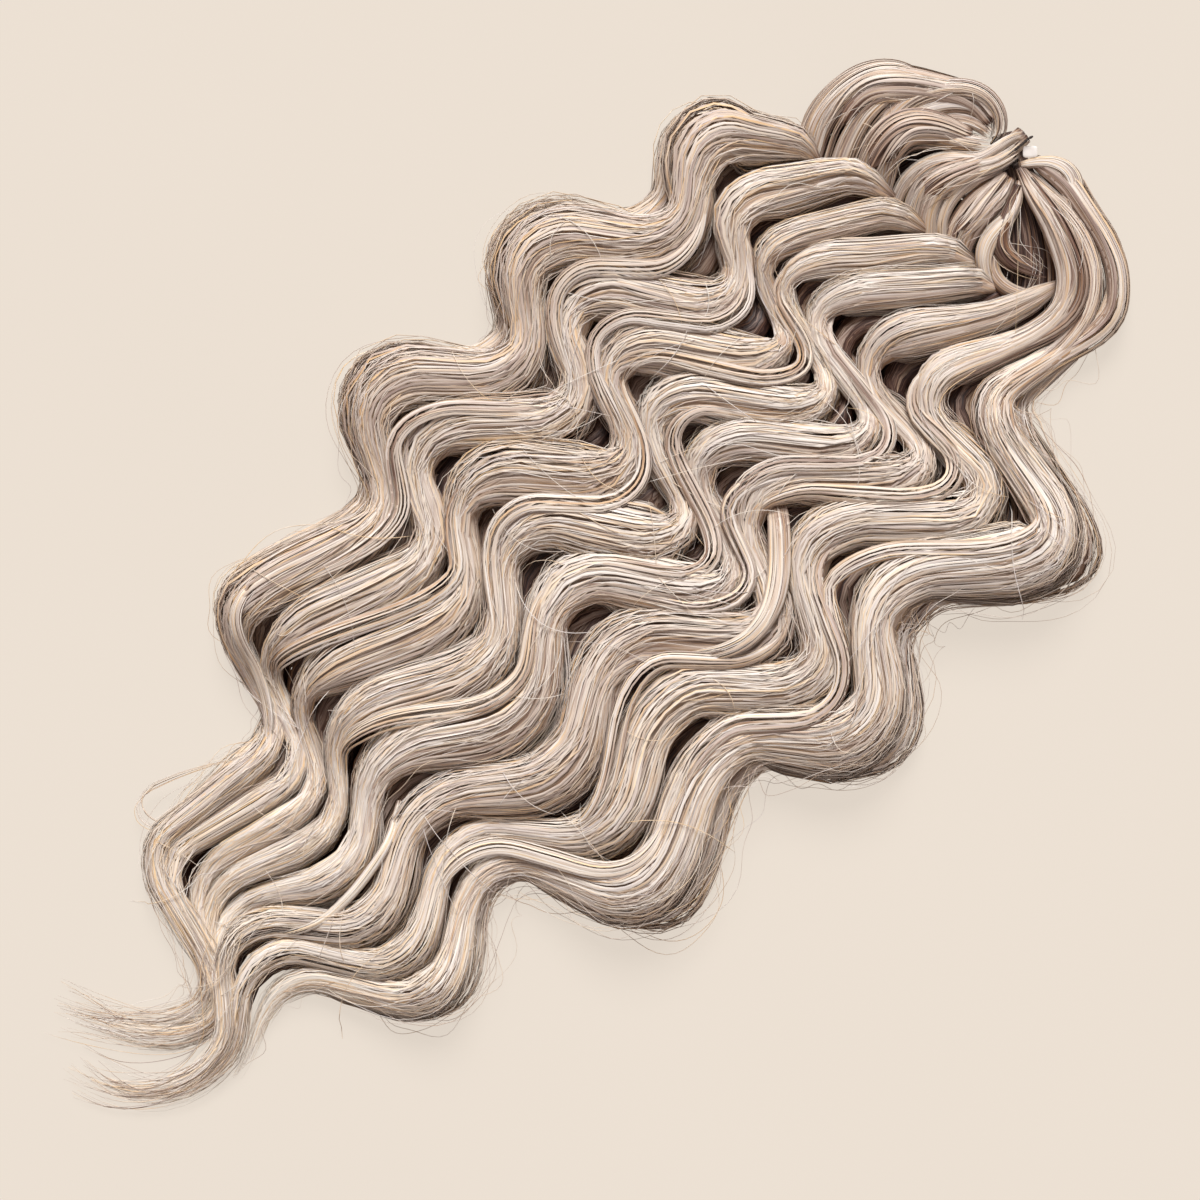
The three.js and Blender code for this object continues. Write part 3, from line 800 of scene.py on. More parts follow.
# %% Heights over the locks
OVER_RINGS = 60
FEELERS = (-3 * MM, 0, 3 * MM)


def top_at(x, y):
    """Height of the locks' skin at a place, and of the floor where there is none."""
    top = 0.0
    for name in UPPER + LOWER:
        course = courses[name]
        off = np.hypot(course[:, 0] - x, course[:, 1] - y) / course[:, HALF_WIDTH]
        near = off < 1
        if near.any():
            skin_height = course[near, HEIGHT] + course[near, HALF_HEIGHT] * np.sqrt(1 - off[near] ** 2)
            top = max(top, skin_height.max())
    return top


def over_rows(places, half_widths, half_height, under):
    """Rings of a wisp that lies on the locks. under is how far below their tops, as (share, mm) pairs."""
    count = len(places)
    rows = np.column_stack([places, np.zeros(count), half_widths, np.full(count, half_height)]) * MM
    rows = through(rows, np.linspace(0, count - 1, OVER_RINGS))
    ways = along_of(rows[:, :2])
    tops = [max(top_at(x - off * way[1], y + off * way[0]) for off in FEELERS)
            for (x, y), way in zip(rows[:, :2], ways)]
    highest = np.array([max(tops[max(0, i - 4) : i + 5]) for i in range(OVER_RINGS)])
    shares, depths = zip(*under)
    rows[:, HEIGHT] = rounded(highest) - MM * np.interp(np.linspace(0, 1, OVER_RINGS), shares, depths)
    return rows


print("the bundle is", round(top_at(0, 0) / MM, 1), "mm high in its middle")

# %% Wisps over the locks
# Of each wisp: the lock that it belongs to, its tufts, its tint, its half height in mm, how long its start
# is painted in shade, its half widths, how deep it lies and its places.
OVER = [
    ("upper_lock_5", 36, 0.70, 1.9, 0.49,
     (2.4, 2.8, 3.2, 3.5, 3.6, 3.4, 3.2, 2.8, 2.0, 1.0),
     ((0, 14), (0.17, 13), (0.29, 0), (0.71, -1), (0.88, 4), (1, 10)),
     [(86, -5), (82.5, -11.5), (75.6, -22.8), (67.6, -31.8), (58.8, -40.1), (48, -46.5), (36.6, -48.2),
      (25.6, -44.5), (16.8, -37.2), (10, -27)]),
    ("upper_lock_1", 12, 0.84, 0.9, 0.1,
     (0.8, 1.6, 1.9, 1.9, 1.8, 1.6, 1.4, 0.8),
     ((0, 7), (0.15, 0), (0.8, 0), (1, 7)),
     [(-64.2, 85.3), (-73.9, 84.3), (-81.2, 81.9), (-87.3, 74.3), (-91, 64.3), (-96.4, 54.1), (-104.4, 45),
      (-114.2, 40.2)]),
    ("upper_lock_6", 10, 0.84, 0.9, 0.1,
     (0.8, 1.3, 1.5, 1.5, 1.4, 1.2, 0.7),
     ((0, 7), (0.2, 0), (0.8, 0), (1, 7)),
     [(-88, -3), (-98.5, -9.6), (-111.5, -12.8), (-125.9, -14), (-137.8, -12.8), (-147.1, -8.4),
      (-155.9, -3.5)]),
]
for number, (name, tufts, tint, half_height, shaded_start, half_widths, under, places) in enumerate(OVER):
    rng = np.random.default_rng(330 + number)
    course = course_of(over_rows(places, half_widths, half_height, under))
    plan = dict(arc=(-20, 200), thin_end=0.3, stagger=0.25, shaded_start=shaded_start)
    if half_height > 1:
        wisps_of[name].append(shade(course, 0.8, 0.9))
    wisps_of[name] += [
        comb(course, rng, tufts, 36, 0.34 * MM, 0.16 * MM, bands=3, tint=tint, vary=0.13, **plan),
        comb(course, rng, tufts // 2 + 4, 36, 0.16 * MM, 0.15 * MM, loose=0.9, tint=tint + 0.04,
             vary=0.16, **plan)]
    print("a wisp over the locks lies", round(course[:, HEIGHT].mean() / MM, 1), "mm high")

# %% [markdown]
# ## The crimped locks
# The upper locks carry most of what is seen, so they get the most and finest tufts. Between them only
# slits of the lower locks show, apart from the two on the outside, which also make the long edges of the
# bundle. Those slits are tinted dark as painted shade. The real bundle has more hair below, which is too
# dark to make out. Wide low sheets of painted shade in the darkest tone stand for it, so no table shows
# between the locks. The locks of the far edge are painted lightest, because they face the light.

# %% Comb the bundle
TIPS = ("upper_lock_1", "upper_lock_2", "upper_lock_6", "upper_lock_7")
pieces = {}
for number, name in enumerate(UPPER + LOWER):
    rng = np.random.default_rng(100 + number)
    course = courses[name]
    ends = dict(stagger=0.14, fan=0.9, thin_end=0.12)
    if name in TIPS:
        ends.update(stagger=0.24, fan=1.4, thin_end=0.16)
    if name in UPPER:
        ends.update(spread=0.45, tilt=1.8, gap=0.35)
        # The far-edge upper lock is painted lighter, as it faces the light.
        lightness = rng.normal(0, 0.03) + (0.05 if name == UPPER[0] else 0)
        sets = [comb(course, rng, 58, 80, 0.50 * MM, 0.14 * MM, tint=0.72 + lightness, **ends),
                comb(course, rng, 82, 60, 0.17 * MM, 0.14 * MM, loose=0.6, tint=0.74 + lightness,
                     vary=0.10, **ends)]
    elif name in (LOWER[0], LOWER[-1]):
        lit, flank_shade = (0.75, 0.0) if name == LOWER[0] else (0.67, 0.10)
        sets = [comb(course, rng, 50, 76, 0.55 * MM, 0.16 * MM, side=flank_shade, tint=lit, **ends),
                comb(course, rng, 24, 72, 0.21 * MM, 0.18 * MM, loose=1.0, side=flank_shade, tint=lit + 0.01,
                     vary=0.14, **ends)]
    else:
        # The inner lower locks are tinted dark as painted shade, and a low sheet of painted shade lies
        # under each.
        sets = [comb(course, rng, 20, 52, 1.2 * MM, 0.20 * MM, arc=(-10, 190), gap=0.9, tint=0.20, **ends),
                shade(course, 1.5, 0.95, 0.05, low=True)]
    # The insides are painted shade, lighter in the two locks of the far edge, which face the light.
    inside = 0.48 if name in UPPER else 0.34
    if name in (LOWER[0], UPPER[0]):
        inside = 0.55
    sets += [shade(course, 0.84, 0.72 if name in TIPS else 0.9, inside), *wisps_of.get(name, [])]
    # Low sheets of painted shade under the middle upper locks, so no table shows between them.
    if name in UPPER[1:7]:
        sets.append(shade(course, 1.9 if name in UPPER[2:4] else 1.5, 0.93, 0.1, low=True))
    pieces[name] = joined_piece("hair_" + name, sets, modacrylic_fibre)
    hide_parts(name)
print("triangles in the locks:", sum(p["triangles"] for p in pieces.values()))

# %% [markdown]
# ## The folded head
# At the head the hair turns back on itself, and each of its locks is a few flat lays of hair, one over
# the other. The rolls on the far side hump up and tuck their ends under. Four lays of the strap sweep out
# of the bundle and over the thread of the tie. Thin locks hang from the neck, one in an S, and three wide
# lays and a twist make the loop that runs on into the near side of the bundle. Three dark lays lie low in
# the shade under all of them. The places of the lays are chosen over the solids, as millimetres, with
# three half widths and half heights each for the start, the middle and the end. Under the lays, each
# solid's own tufts and dark inside keep its form.

# %% Places of the lays
# Of each lay: its solid, the lock that it runs on into, its tint, three half widths, three half heights and
# its places.
LAYS = [
    ("roll_outer", None, 0.66, (5.0, 5.2, 1.6), (4.0, 6.0, 3.0),
     [(171, 54.5, 5), (180.5, 59.5, 8), (192.5, 60.5, 11), (203, 58, 11.5), (210.5, 52.5, 11),
      (214, 46.5, 9), (215, 40.5, 6)]),
    ("roll_outer", None, 0.57, (3.2, 3.6, 1.2), (4.0, 5.0, 3.0),
     [(171.5, 42, 4), (182.5, 47.5, 8), (194.5, 50, 12), (205, 48, 12), (212.5, 43, 9)]),
    ("roll_outer", None, 0.67, (3.0, 3.5, 1.6), (3.0, 5.5, 3.0),
     [(175.5, 33, 4), (186, 40.5, 7), (197.5, 43, 11), (208.5, 42.5, 12.5), (218.5, 36.5, 12.5),
      (225.5, 28.5, 12), (226.5, 21.5, 11), (224, 15.5, 9.5), (219.5, 12.5, 8), (214, 12.5, 7)]),
    ("roll_inner", None, 0.65, (2.6, 4.6, 2.2), (3.0, 5.0, 3.0),
     [(175.5, 26.5, 4), (185, 33, 8), (193, 36.5, 11), (200.5, 33.5, 12), (206, 26.5, 11.5),
      (211, 18.5, 10.5), (216.5, 12, 9)]),
    ("roll_inner", None, 0.59, (1.6, 3.0, 1.6), (2.0, 3.0, 2.0),
     [(203.5, 36, 10), (212, 30, 10.5), (217.5, 22.5, 10), (219, 14.5, 9)]),
    ("head_strap", None, 0.69, (2.0, 2.3, 1.0), (3.0, 3.0, 1.2),
     [(177.5, 21, 4), (186.5, 25, 8), (194.5, 24, 10.5), (202.5, 19.5, 11), (208.5, 12.5, 11.5),
      (216, 10.5, 12.6), (223.5, 9, 12.2), (227.5, 6.5, 9.5)]),
    ("head_strap", None, 0.65, (2.4, 2.5, 1.0), (3.0, 3.0, 1.2),
     [(178, 13.5, 4), (187, 19, 8), (195, 19.5, 11), (203.5, 15, 11.5), (210, 9, 12), (217.5, 6.5, 12.6),
      (224.5, 6, 11)]),
    ("head_strap", None, 0.63, (2.8, 2.6, 0.9), (3.0, 3.0, 1.2),
     [(177.5, 4, 4), (185, 11.5, 8), (193, 14, 10.5), (202, 12.5, 11), (209.5, 7.5, 11.5),
      (217, 4.5, 12), (222, 4, 10)]),
    ("head_strap", None, 0.71, (1.6, 2.0, 0.8), (3.0, 2.6, 1.2),
     [(179, -1.5, 3), (185.5, 6, 7), (193, 9, 9.5), (203, 8.5, 10), (210.5, 5, 10), (217, 3, 9.5)]),
    ("neck_lock_1", None, 0.45, (2.0, 2.2, 0.9), (3.0, 3.0, 2.0),
     [(179, -4, 3), (189, 2.5, 5.5), (197.5, 4, 7), (206.5, 3.5, 7.5), (213.5, 2, 8)]),
    ("neck_lock_1", None, 0.67, (2.4, 2.8, 1.0), (3.5, 4.0, 2.0),
     [(179, -9, 3), (191, -3.5, 8), (200.5, -3, 9.5), (208.5, -2.5, 9.5), (214, 0, 8.5)]),
    ("neck_lock_2", None, 0.68, (1.0, 2.7, 1.8), (2.0, 3.5, 3.0),
     [(214.5, -3, 8.5), (208.5, -8, 9), (201, -9.5, 9.5), (193.5, -9.5, 9.5), (187.5, -12, 9),
      (183.5, -17.5, 7), (182, -23.5, 4)]),
    ("neck_lock_2", None, 0.53, (1.6, 2.5, 1.4), (2.5, 3.0, 2.5),
     [(191.5, -14, 6), (186.5, -17.5, 6), (185, -22.5, 5.5), (186.5, -29, 5), (191, -35.5, 5),
      (199, -40, 5)]),
    ("roll_inner", None, 0.63, (3.0, 3.6, 1.6), (2.0, 4.0, 2.0),
     [(178, 30, 4), (188, 38.5, 8), (201, 40.5, 11.5), (210, 37, 12), (219, 30, 11.8), (222, 22, 10.5),
      (220, 16, 9)]),
    # The next three lays are painted shade: dark tufts low under the head and in the loop's eye, so no
    # table shows there.
    ("head_strap", None, 0.10, (9.0, 11.0, 8.0), (1.6, 1.6, 1.6),
     [(176, 26, 2), (183, 12, 2), (188, -1, 2), (189, -14, 2), (186, -28, 2)]),
    ("neck_lock_2", None, 0.10, (3.0, 7.5, 12.0), (1.6, 1.6, 1.6),
     [(218, 4, 4), (211, -9, 2.8), (203, -22, 2.2), (194, -32, 2.2), (180, -42, 2.4)]),
    ("roll_inner", None, 0.08, (13.0, 14.0, 6.0), (1.6, 1.6, 1.6),
     [(174, 44, 2.4), (190, 40, 2.4), (206, 31, 2.4), (217, 16, 3)]),
    ("loop_inner", "upper_lock_7", 0.69, (1.3, 4.5, 3.8), (2.0, 5.5, 4.5),
     [(217.5, 0, 9), (214.5, -9.5, 10), (213, -19.5, 11), (209, -29.5, 12), (203.5, -38.5, 12),
      (195.5, -44.5, 11.5)]),
    ("loop_inner", "upper_lock_8", 0.61, (1.2, 3.2, 3.4), (2.0, 5.0, 4.5),
     [(218, -2.5, 8), (218, -12, 8.5), (217.5, -23, 9.5), (215, -33.5, 10), (210, -43, 10),
      (202, -50, 10)]),
    ("loop_outer", None, 0.69, (1.0, 3.2, 1.6), (2.0, 3.0, 2.0),
     [(218.5, 0.5, 9), (225, -4.5, 10), (228, -11, 10.5), (226.5, -17, 10), (221.5, -20.5, 10),
      (218, -26.5, 8)]),
    ("loop_outer", "upper_lock_8", 0.65, (1.2, 2.7, 3.0), (3.0, 5.5, 4.5),
     [(224, -17, 7), (224.5, -24, 8), (224, -32.5, 8.5), (221, -41.5, 9), (216, -49, 9),
      (207.5, -55.5, 9)]),
]
print(len(LAYS), "lays on", len({lay[0] for lay in LAYS}), "solids")

# %% Lay the head
LOW_START, UNDER_BUNDLE, UNDER_HEIGHT = 5, 10, 2.4
LAY_WIDER, LAY_LOWER = 1.15, 0.75


def lay_rows(places, widths, heights):
    """Rings of a lay from its places and its three half widths and half heights. A low start is under the
    bundle, and the lay then starts further back."""
    places = np.array(places, dtype=float)
    if places[0, HEIGHT] <= LOW_START:
        back = places[0] + UNDER_BUNDLE * along_of(places[::-1])[-1]
        places = np.concatenate([[[*back[:2], UNDER_HEIGHT]], places])
    share = np.linspace(0, 1, len(places))
    wide, tall = (np.interp(share, (0, 0.5, 1), three) for three in (widths, heights))
    return np.column_stack([places, LAY_WIDER * wide, LAY_LOWER * tall]) * MM


RUNS_ON = {"loop_inner": "upper_lock_7", "loop_outer": "upper_lock_8"}
head_sets, frayed = {}, dict(stagger=0.3, thin_end=0.3)
for number, name in enumerate(HEAD):
    rng = np.random.default_rng(220 + number)
    rows = rings[name]
    if name in RUNS_ON:
        rows = np.concatenate([rows[:-2], rings[RUNS_ON[name]][2:5]])
    course = course_of(rows)
    # The base of neck_lock_2 is dark, partly its curl of greyer hair and partly painted shade in the loop's
    # eye.
    base_tint = 0.22 if name == "neck_lock_2" else 0.56
    head_sets[name] = [
        shade(course, 0.7, 0.9),
        comb(course, rng, 34, 28, 0.6 * MM, 0.16 * MM, tint=base_tint, **frayed)]
lay_courses = []
for number, (name, goes_into, tint, widths, heights, places) in enumerate(LAYS):
    rng = np.random.default_rng(200 + number)
    rows = lay_rows(places, widths, heights)
    if goes_into:
        rows = np.concatenate([rows, rings[goes_into][2:7] + [0, 0, 0.6 * MM, 0, 0]])
    course = course_of(rows)
    lay_courses.append(course)
    tufts = 12 + round(6 * min(max(widths), 6))
    plan = dict(arc=(-30, 210), stagger=0.12 if goes_into is None else 0.3, thin_end=0.12, bands=3)
    head_sets[name] += [
        shade(course, 0.75, 0.95, min(0.22, 0.5 * tint)),
        comb(course, rng, tufts, 27, 0.42 * MM, 0.14 * MM, tint=tint, **plan),
        comb(course, rng, tufts, 27, 0.18 * MM, 0.15 * MM, loose=0.4, tint=tint + 0.06, vary=0.15, **plan)]
for name, sets in head_sets.items():
    pieces[name] = joined_piece("hair_" + name, sets, modacrylic_fibre)
    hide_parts(name)
print("triangles so far:", sum(p["triangles"] for p in pieces.values()))

# %% [markdown]
# ## The tie
# A dark thread is wound three times round the neck of the head and knotted. It is two plies twisted
# together, so it is drawn as two tubes that run round each other along the winding. One end stands out
# past the strap. Real thread like this is polyester, matt and nearly black brown, with a faint sheen on
# each ply.

# %% Thread material
FUZZ = 0.25
polyester_thread, tree = new_material("polyester_thread")
lie = add_node(tree, "ShaderNodeAttribute", attribute_name="lie")
fuzz = add_node(tree, "ShaderNodeTexNoise", {"Vector": (lie, "Vector"), "Scale": 1 / FUZZ, "Detail": 2.0})
browns = add_node(tree, "ShaderNodeValToRGB", {"Fac": (fuzz, "Fac")})
for stop, brown in zip(browns.color_ramp.elements, ("#1C1412", "#43342C")):
    stop.color = linear(brown)
ply = add_node(tree, "ShaderNodeBsdfPrincipled",
               {"Base Color": (browns, "Color"), "Roughness": 0.65, "IOR": 1.57})
add_node(tree, "ShaderNodeOutputMaterial", {"Surface": (ply, "BSDF")})
print(polyester_thread.name, "with", len(tree.nodes), "nodes")

# %% Wind the thread
TURNS, PLY, TWIST = 3, 0.30 * MM, 2.2 * MM


def twisted(middle_line):
    """Two plies that run round each other along a line of points."""
    run = np.concatenate([[0], np.cumsum(np.linalg.norm(np.diff(middle_line, axis=0), axis=1))])
    ways = along_of(middle_line)
    one = np.cross(ways, [0.3, 0.2, 0.93])
    one /= np.linalg.norm(one, axis=1, keepdims=True)
    two = np.cross(ways, one)
    turn = 2 * np.pi * run / TWIST
    off = 0.8 * PLY * (np.cos(turn)[:, None] * one + np.sin(turn)[:, None] * two)
    paths = np.stack([middle_line + off, middle_line - off])
    thick = np.full(paths.shape[:2], PLY)
    return tubes(paths, thick, thick, np.full(paths.shape[:2], 0.1), np.zeros(paths.shape[:2]), 5)


low, high = (np.array(corner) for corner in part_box("tie_thread"))
tie_middle = (low + high) / 2
ring = (high[1] - low[1]) / 2 - 2 * PLY
turn = np.linspace(0, 2 * np.pi * TURNS, 60 * TURNS)
wound = np.column_stack([np.linspace(low[0] + 2 * PLY, high[0] - 2 * PLY, len(turn)),
                         tie_middle[1] + ring * np.sin(turn), tie_middle[2] + ring * np.cos(turn)])
knot = np.linspace(0, 4 * np.pi, 40)
knotted = tie_middle + np.column_stack([
    (0.9 * np.cos(knot) - 1.0) * MM,
    -ring + 0.7 * np.sin(1.5 * knot) * MM,
    (2.2 + 0.9 * np.sin(knot)) * MM])
tail = tie_middle + MM * np.array([(1.2, -2.0, 5.4), (4.0, -2.4, 6.2), (7.4, -2.6, 6.0), (9.6, -3.2, 6.4)])
tail = through(tail, np.linspace(0, 3, 16))
thread = (wound, knotted, tail)
pieces["tie_thread"] = joined_piece("thread_of_tie", [twisted(line) for line in thread], polyester_thread)
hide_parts("tie_thread")
lengths = [np.linalg.norm(np.diff(line, axis=0), axis=1).sum() for line in thread]
print("winding, knot and free end in mm:", [round(length / MM) for length in lengths])

# %% [markdown]
# The thread is knotted to a short end of white tape. It is a small soft tab with rounded edges that lies
# square to the picture and curls a little. Its rim is a ring of points, and smaller copies of the ring
# close the top and the bottom. Cutting a cube and rounding it would take more steps. The tape is woven
# cotton, so it is matt to the eye, off white and slightly mottled, with a fine weave.

# %% Tape material
WEAVE, MOTTLE = 0.35 * MM, 2 * MM
tape_cotton, tree = new_material("tape_cotton")
spot = add_node(tree, "ShaderNodeTexCoord")
weave = add_node(tree, "ShaderNodeTexChecker", {"Vector": (spot, "Object"), "Scale": 1 / WEAVE})
mottle = add_node(tree, "ShaderNodeTexNoise",
                  {"Vector": (spot, "Object"), "Scale": 1 / MOTTLE, "Detail": 2.0})
whites = add_node(tree, "ShaderNodeValToRGB", {"Fac": (mottle, "Fac")})
for stop, white in zip(whites.color_ramp.elements, ("#E6DED6", "#F7F3EE")):
    stop.color = linear(white)
threads = add_node(tree, "ShaderNodeBump",
                   {"Height": (weave, "Fac"), "Strength": 0.25, "Distance": 0.05 * MM})
cloth = add_node(tree, "ShaderNodeBsdfPrincipled",
                 {"Base Color": (whites, "Color"), "Roughness": 0.75, "IOR": 1.5,
                  "Normal": (threads, "Normal")})
add_node(tree, "ShaderNodeOutputMaterial", {"Surface": (cloth, "BSDF")})
print(tape_cotton.name, "with", len(tree.nodes), "nodes")

# %% Cut the tab
RIM = 48
RINGS = ((0.0, -1), (0.55, -1), (0.92, -1), (1.0, -0.5), (1.0, 0.5), (0.92, 1), (0.55, 1), (0.0, 1))
axes = np.array([[*LEVEL_WAY, 0], [-LEVEL_WAY[1], LEVEL_WAY[0], 0], [0, 0, 1]])
solid = np.array([v.co[:] for v in bpy.data.objects["tie_tab"].data.vertices]) @ axes.T
half, middle = np.ptp(solid, axis=0) / 2, (solid.min(axis=0) + solid.max(axis=0)) / 2
angle = 2 * np.pi * np.arange(RIM) / RIM
rim = np.column_stack([np.sign(np.cos(angle)) * np.abs(np.cos(angle)) ** 0.4,
                       np.sign(np.sin(angle)) * np.abs(np.sin(angle)) ** 0.4])
points = []
for share, height in RINGS:
    ring = share * rim if share else rim[:1] * 0
    curl = 0.5 * MM * (ring[:, 0] ** 2 - 0.4) + 0.2 * MM * ring[:, 1]
    points.append(np.column_stack([ring * half[:2], height * half[2] + curl]))
sheet = (np.concatenate(points) + middle) @ axes
faces = [(0, 1 + (i + 1) % RIM, 1 + i) for i in range(RIM)]
full_rings = len(RINGS) - 2
for layer in range(full_rings - 1):
    one = 1 + layer * RIM
    faces += [(one + i, one + (i + 1) % RIM, one + RIM + (i + 1) % RIM, one + RIM + i) for i in range(RIM)]
last = 1 + (full_rings - 1) * RIM
faces += [(last + i, last + (i + 1) % RIM, last + RIM) for i in range(RIM)]
mesh = bpy.data.meshes.new("tape_tab")
mesh.from_pydata(sheet.tolist(), [], faces)
mesh.polygons.foreach_set("use_smooth", np.ones(len(faces), dtype=bool))
mesh.materials.append(tape_cotton)
pieces["tie_tab"] = bpy.data.objects.new("tape_tab", mesh)
pieces["tie_tab"]["triangles"] = sum(len(face) - 2 for face in faces)
scene.collection.objects.link(pieces["tie_tab"])
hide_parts("tie_tab")
print("tab in mm:", [round(c / MM, 1) for c in 2 * half])

# %% [markdown]
# ## Loose fibres
# Single fibres stand off the bundle everywhere. Most run along a lock for a while, bow out from it or run
# past a tip, and end in the hair again. Each is a thin tube. They are drawn about 0.2 mm thick, a few
# times thicker than real ones, so that they show.

# %% Fibres along the locks
FIBRE = 0.115 * MM


def fibre_tubes(paths, rng, tint, half=FIBRE):
    """Thin pale tubes along the paths, thinner at both ends."""
    count, points = paths.shape[:2]
    s = np.linspace(0, 1, points)[None]
    thick = half * rng.uniform(0.8, 1.2, (count, 1)) * np.clip(np.minimum(s, 1 - s) / 0.1, 0.4, 1)
    paths[..., HEIGHT] = np.maximum(paths[..., HEIGHT], thick)
    tone = np.clip(tint + rng.normal(0, 0.12, (count, 1)) + 0 * s, 0.2, 1)
    warm = rng.normal(-0.1, 0.2, (count, 1)) + 0 * s
    return tubes(paths, thick, thick, tone, warm)


def strays(rng, names, count, points, span, off, lift, outward=0.0, past=0.0):
    """Fibres along parts of the locks, off to the side by up to off and up by lift. outward is the side
    that they keep to, and past how far they run past the end."""
    paths = []
    for name in rng.choice(names, count):
        course = courses[name]
        last = (len(course) - 1) * STEP
        long = min(rng.uniform(*span), 0.9 * last)
        start = last - long if past else rng.uniform(0, last - long)
        place = (start + long * np.linspace(0, 1, points)) / STEP
        here = rows_at(course, place)
        ways = along_of(here[:, :3])
        s = np.linspace(0, 1, points)
        angle = math.radians(90 - outward * rng.uniform(40, 95) if outward else rng.uniform(25, 155))
        bow = s ** 1.5 if past else np.sin(np.pi * s) ** 0.8
        drift = rng.uniform(-0.3, 1.0) * bow * off
        drift = drift + 0.25 * off * wander(rng, 1, s[None] * 80 * MM, (70, 40))[0] * bow
        drift = drift * (np.sign(outward) if outward else rng.choice([-1, 1]))
        path = here[:, :3] + (here[:, HALF_WIDTH] * math.cos(angle) + drift)[:, None] * aside_of(ways)
        path[:, HEIGHT] += here[:, HALF_HEIGHT] * math.sin(angle)
        path[:, HEIGHT] += lift * np.sin(np.pi * s) * rng.uniform(0.3, 1)
        if past:
            path[:, :2] += (ways[-1, :2] * past * rng.uniform(0.1, 1))[None] * (s ** 4)[:, None]
        paths.append(path)
    return np.array(paths)


print("a loose fibre is drawn about", round(2 * FIBRE / MM, 2), "mm thick")

# %% [markdown]
# Other fibres lie right across: from one lay of the head to another, or over the locks in slack bows with
# both ends in the hair. A few come out of the far edge near the tips and turn back in a loop.

# %% Fibres across the hair
def bridges(rng, pairs, count, points, lift):
    """Fibres that cross from one lay of the head to another, in a slack bow."""
    paths = []
    for one, other in np.array(pairs)[rng.integers(0, len(pairs), count)]:
        ends = []
        for course in (lay_courses[one], lay_courses[other]):
            spot = course[rng.integers(len(course) // 5, 4 * len(course) // 5)]
            ends.append(spot[:3] + [0, 0, 0.9 * spot[HALF_HEIGHT]])
        s = np.linspace(0, 1, points)[:, None]
        bow = rng.normal(0, 0.12, 2) * np.linalg.norm(ends[1] - ends[0])
        path = ends[0] + s * (ends[1] - ends[0])
        path[:, :2] += np.sin(np.pi * s) * bow
        path[:, HEIGHT] += lift * np.sin(np.pi * s[:, 0])
        paths.append(path)
    return np.array(paths)


def crossing(rng, count, points):
    """Fibres that lie across the locks in slack bows, with both ends in the hair."""
    paths = []
    for name in rng.choice(UPPER, count):
        long = len(courses[name])
        spot = courses[name][rng.integers(long // 8, 7 * long // 8), :2]
        angle, reach = rng.uniform(0, np.pi), rng.uniform(14, 42) * MM
        s = np.linspace(-1, 1, points)[:, None]
        way = np.array([math.cos(angle), math.sin(angle)])
        flat = spot + 0.5 * reach * (s * way + rng.normal(0, 0.3) * (1 - s * s) * [-way[1], way[0]])
        tops = np.array([top_at(x, y) for x, y in flat])
        held = np.array([tops[max(0, i - 2) : i + 3].max() for i in range(points)])
        paths.append(np.column_stack([flat, held + 1.3 * MM - 3 * MM * s[:, 0] ** 6]))
    return np.array(paths)


# Pairs of lays, by their row in LAYS.
ROLLS_AND_STRAP = [(1, 3), (2, 3), (2, 4), (3, 5), (0, 2)]
LOOP_EYE = [(11, 15), (12, 15), (15, 17), (12, 17)]
BOW = [(-118, 47, 9), (-131, 54.5, 8), (-142, 59.5, 7), (-149.5, 61.8, 6), (-154.8, 61, 6),
       (-157.3, 57.3, 6), (-156.8, 52.5, 7), (-154.5, 48, 8), (-153, 43, 8)]
bow = through(np.array(BOW) * MM, np.linspace(0, len(BOW) - 1, 30))
print(len(ROLLS_AND_STRAP) + len(LOOP_EYE), "pairs of lays are bridged")

# %% [markdown]
# The near edge and the tips are the most ruffled on the real bundle, so they get the most fibres. All of
# them are one piece, because none can be told from the next.

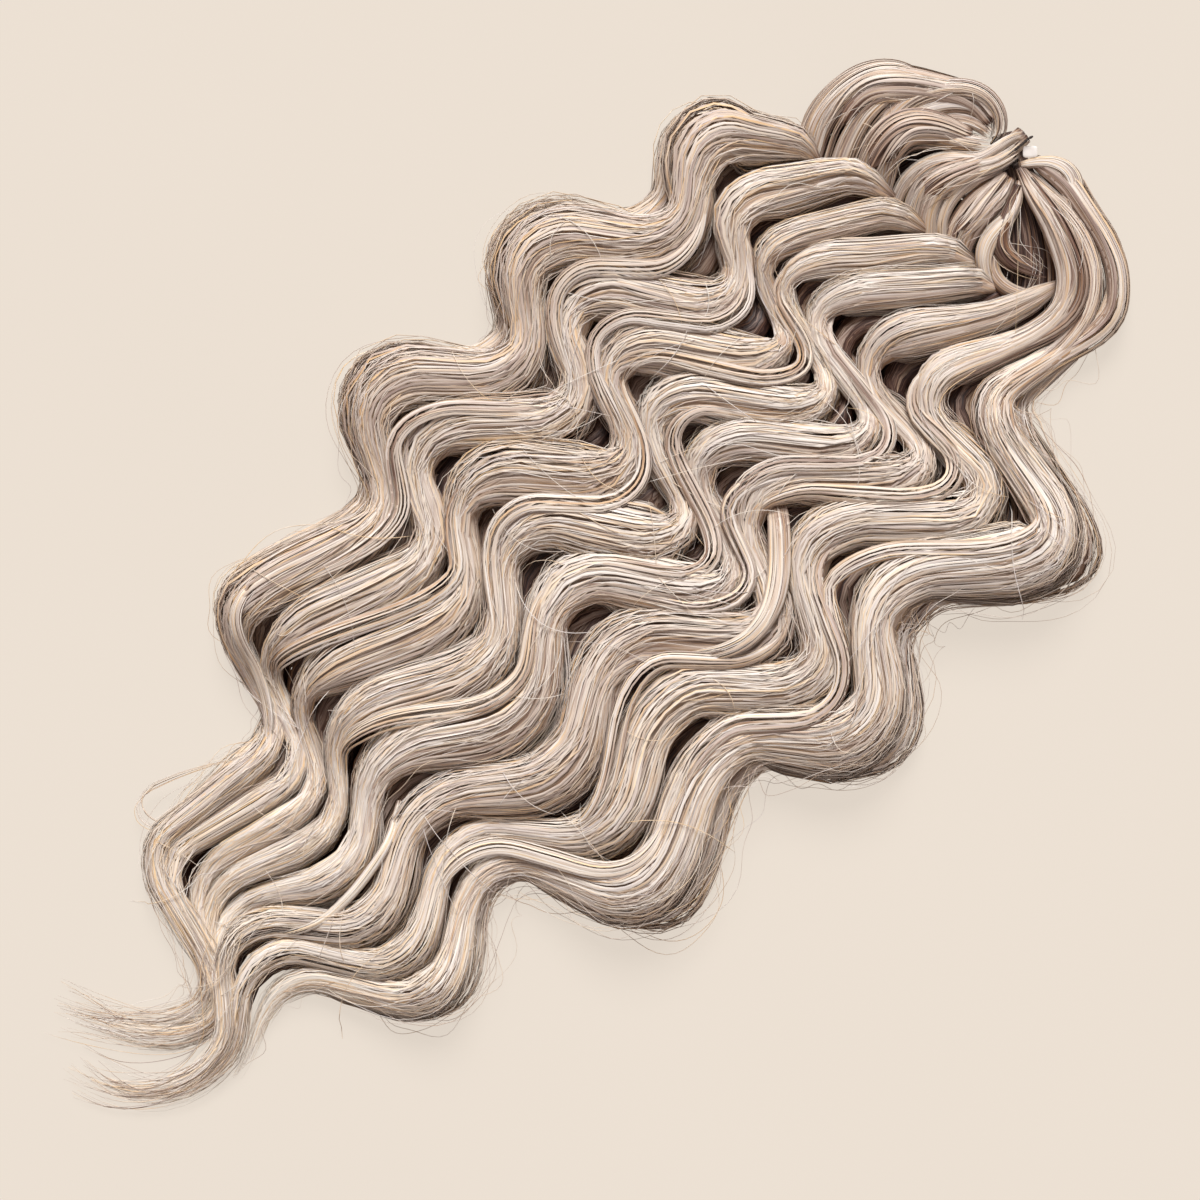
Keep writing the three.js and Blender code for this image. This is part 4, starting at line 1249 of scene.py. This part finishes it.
# %% Scatter the loose fibres
FAR_EDGE, NEAR_EDGE = ["lower_lock_1", "upper_lock_1"], ["lower_lock_9", "upper_lock_8"]
# Of each group: its locks, how many fibres, their points, shortest and longest in mm, how far off and how
# far up in mm, the side, how far past the end in mm, the tint and the half thickness in mm.
STRAYS = [
    (UPPER, 90, 24, (50, 150), 9, 2.5, 0, 0, 0.86, 0.115),
    # Fibres of the far edge are tinted lighter than those of the near edge, as painted light: that edge
    # faces the light.
    (FAR_EDGE, 50, 20, (20, 60), 6, 1.5, 1, 0, 0.78, 0.09),
    (NEAR_EDGE, 90, 20, (20, 70), 9, 1.5, -1, 0, 0.70, 0.09),
    (list(TIPS), 70, 24, (50, 120), 9, 1.0, 0, 14, 0.66, 0.115),
    (HEAD, 30, 22, (20, 55), 4, 2.0, 0, 0, 0.84, 0.115),
    (NEAR_EDGE, 40, 20, (30, 90), 14, 1.0, -1, 0, 0.66, 0.08),
]
rng = np.random.default_rng(400)
loose = []
for locks, count, points, (short, long), off, lift, side, past, tint, half in STRAYS:
    paths = strays(rng, locks, count, points, (short * MM, long * MM), off * MM, lift * MM, side, past * MM)
    loose.append(fibre_tubes(paths, rng, tint, half * MM))
loop = np.array([bow[0] + (bow - bow[0]) * rng.uniform(0.9, 1.03, (1, 3)) for fibre in range(9)])
loose += [
    fibre_tubes(loop, rng, 0.78),
    fibre_tubes(crossing(rng, 90, 12), rng, 0.95, 0.13 * MM),
    fibre_tubes(bridges(rng, ROLLS_AND_STRAP, 14, 14, 2 * MM), rng, 0.86),
    fibre_tubes(bridges(rng, LOOP_EYE, 9, 14, 1 * MM), rng, 0.80, 0.08 * MM),
]
pieces["loose_fibres"] = joined_piece("loose_fibres", loose, modacrylic_fibre)
print("triangles so far:", sum(p["triangles"] for p in pieces.values()))

# %% [markdown]
# ## One body
# The bundle is limp and has no joints, so all its pieces move with one body.

# %% Let the pieces ride
for name, piece in pieces.items():
    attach(piece, "root")
print(len(pieces), "pieces ride on the bundle")
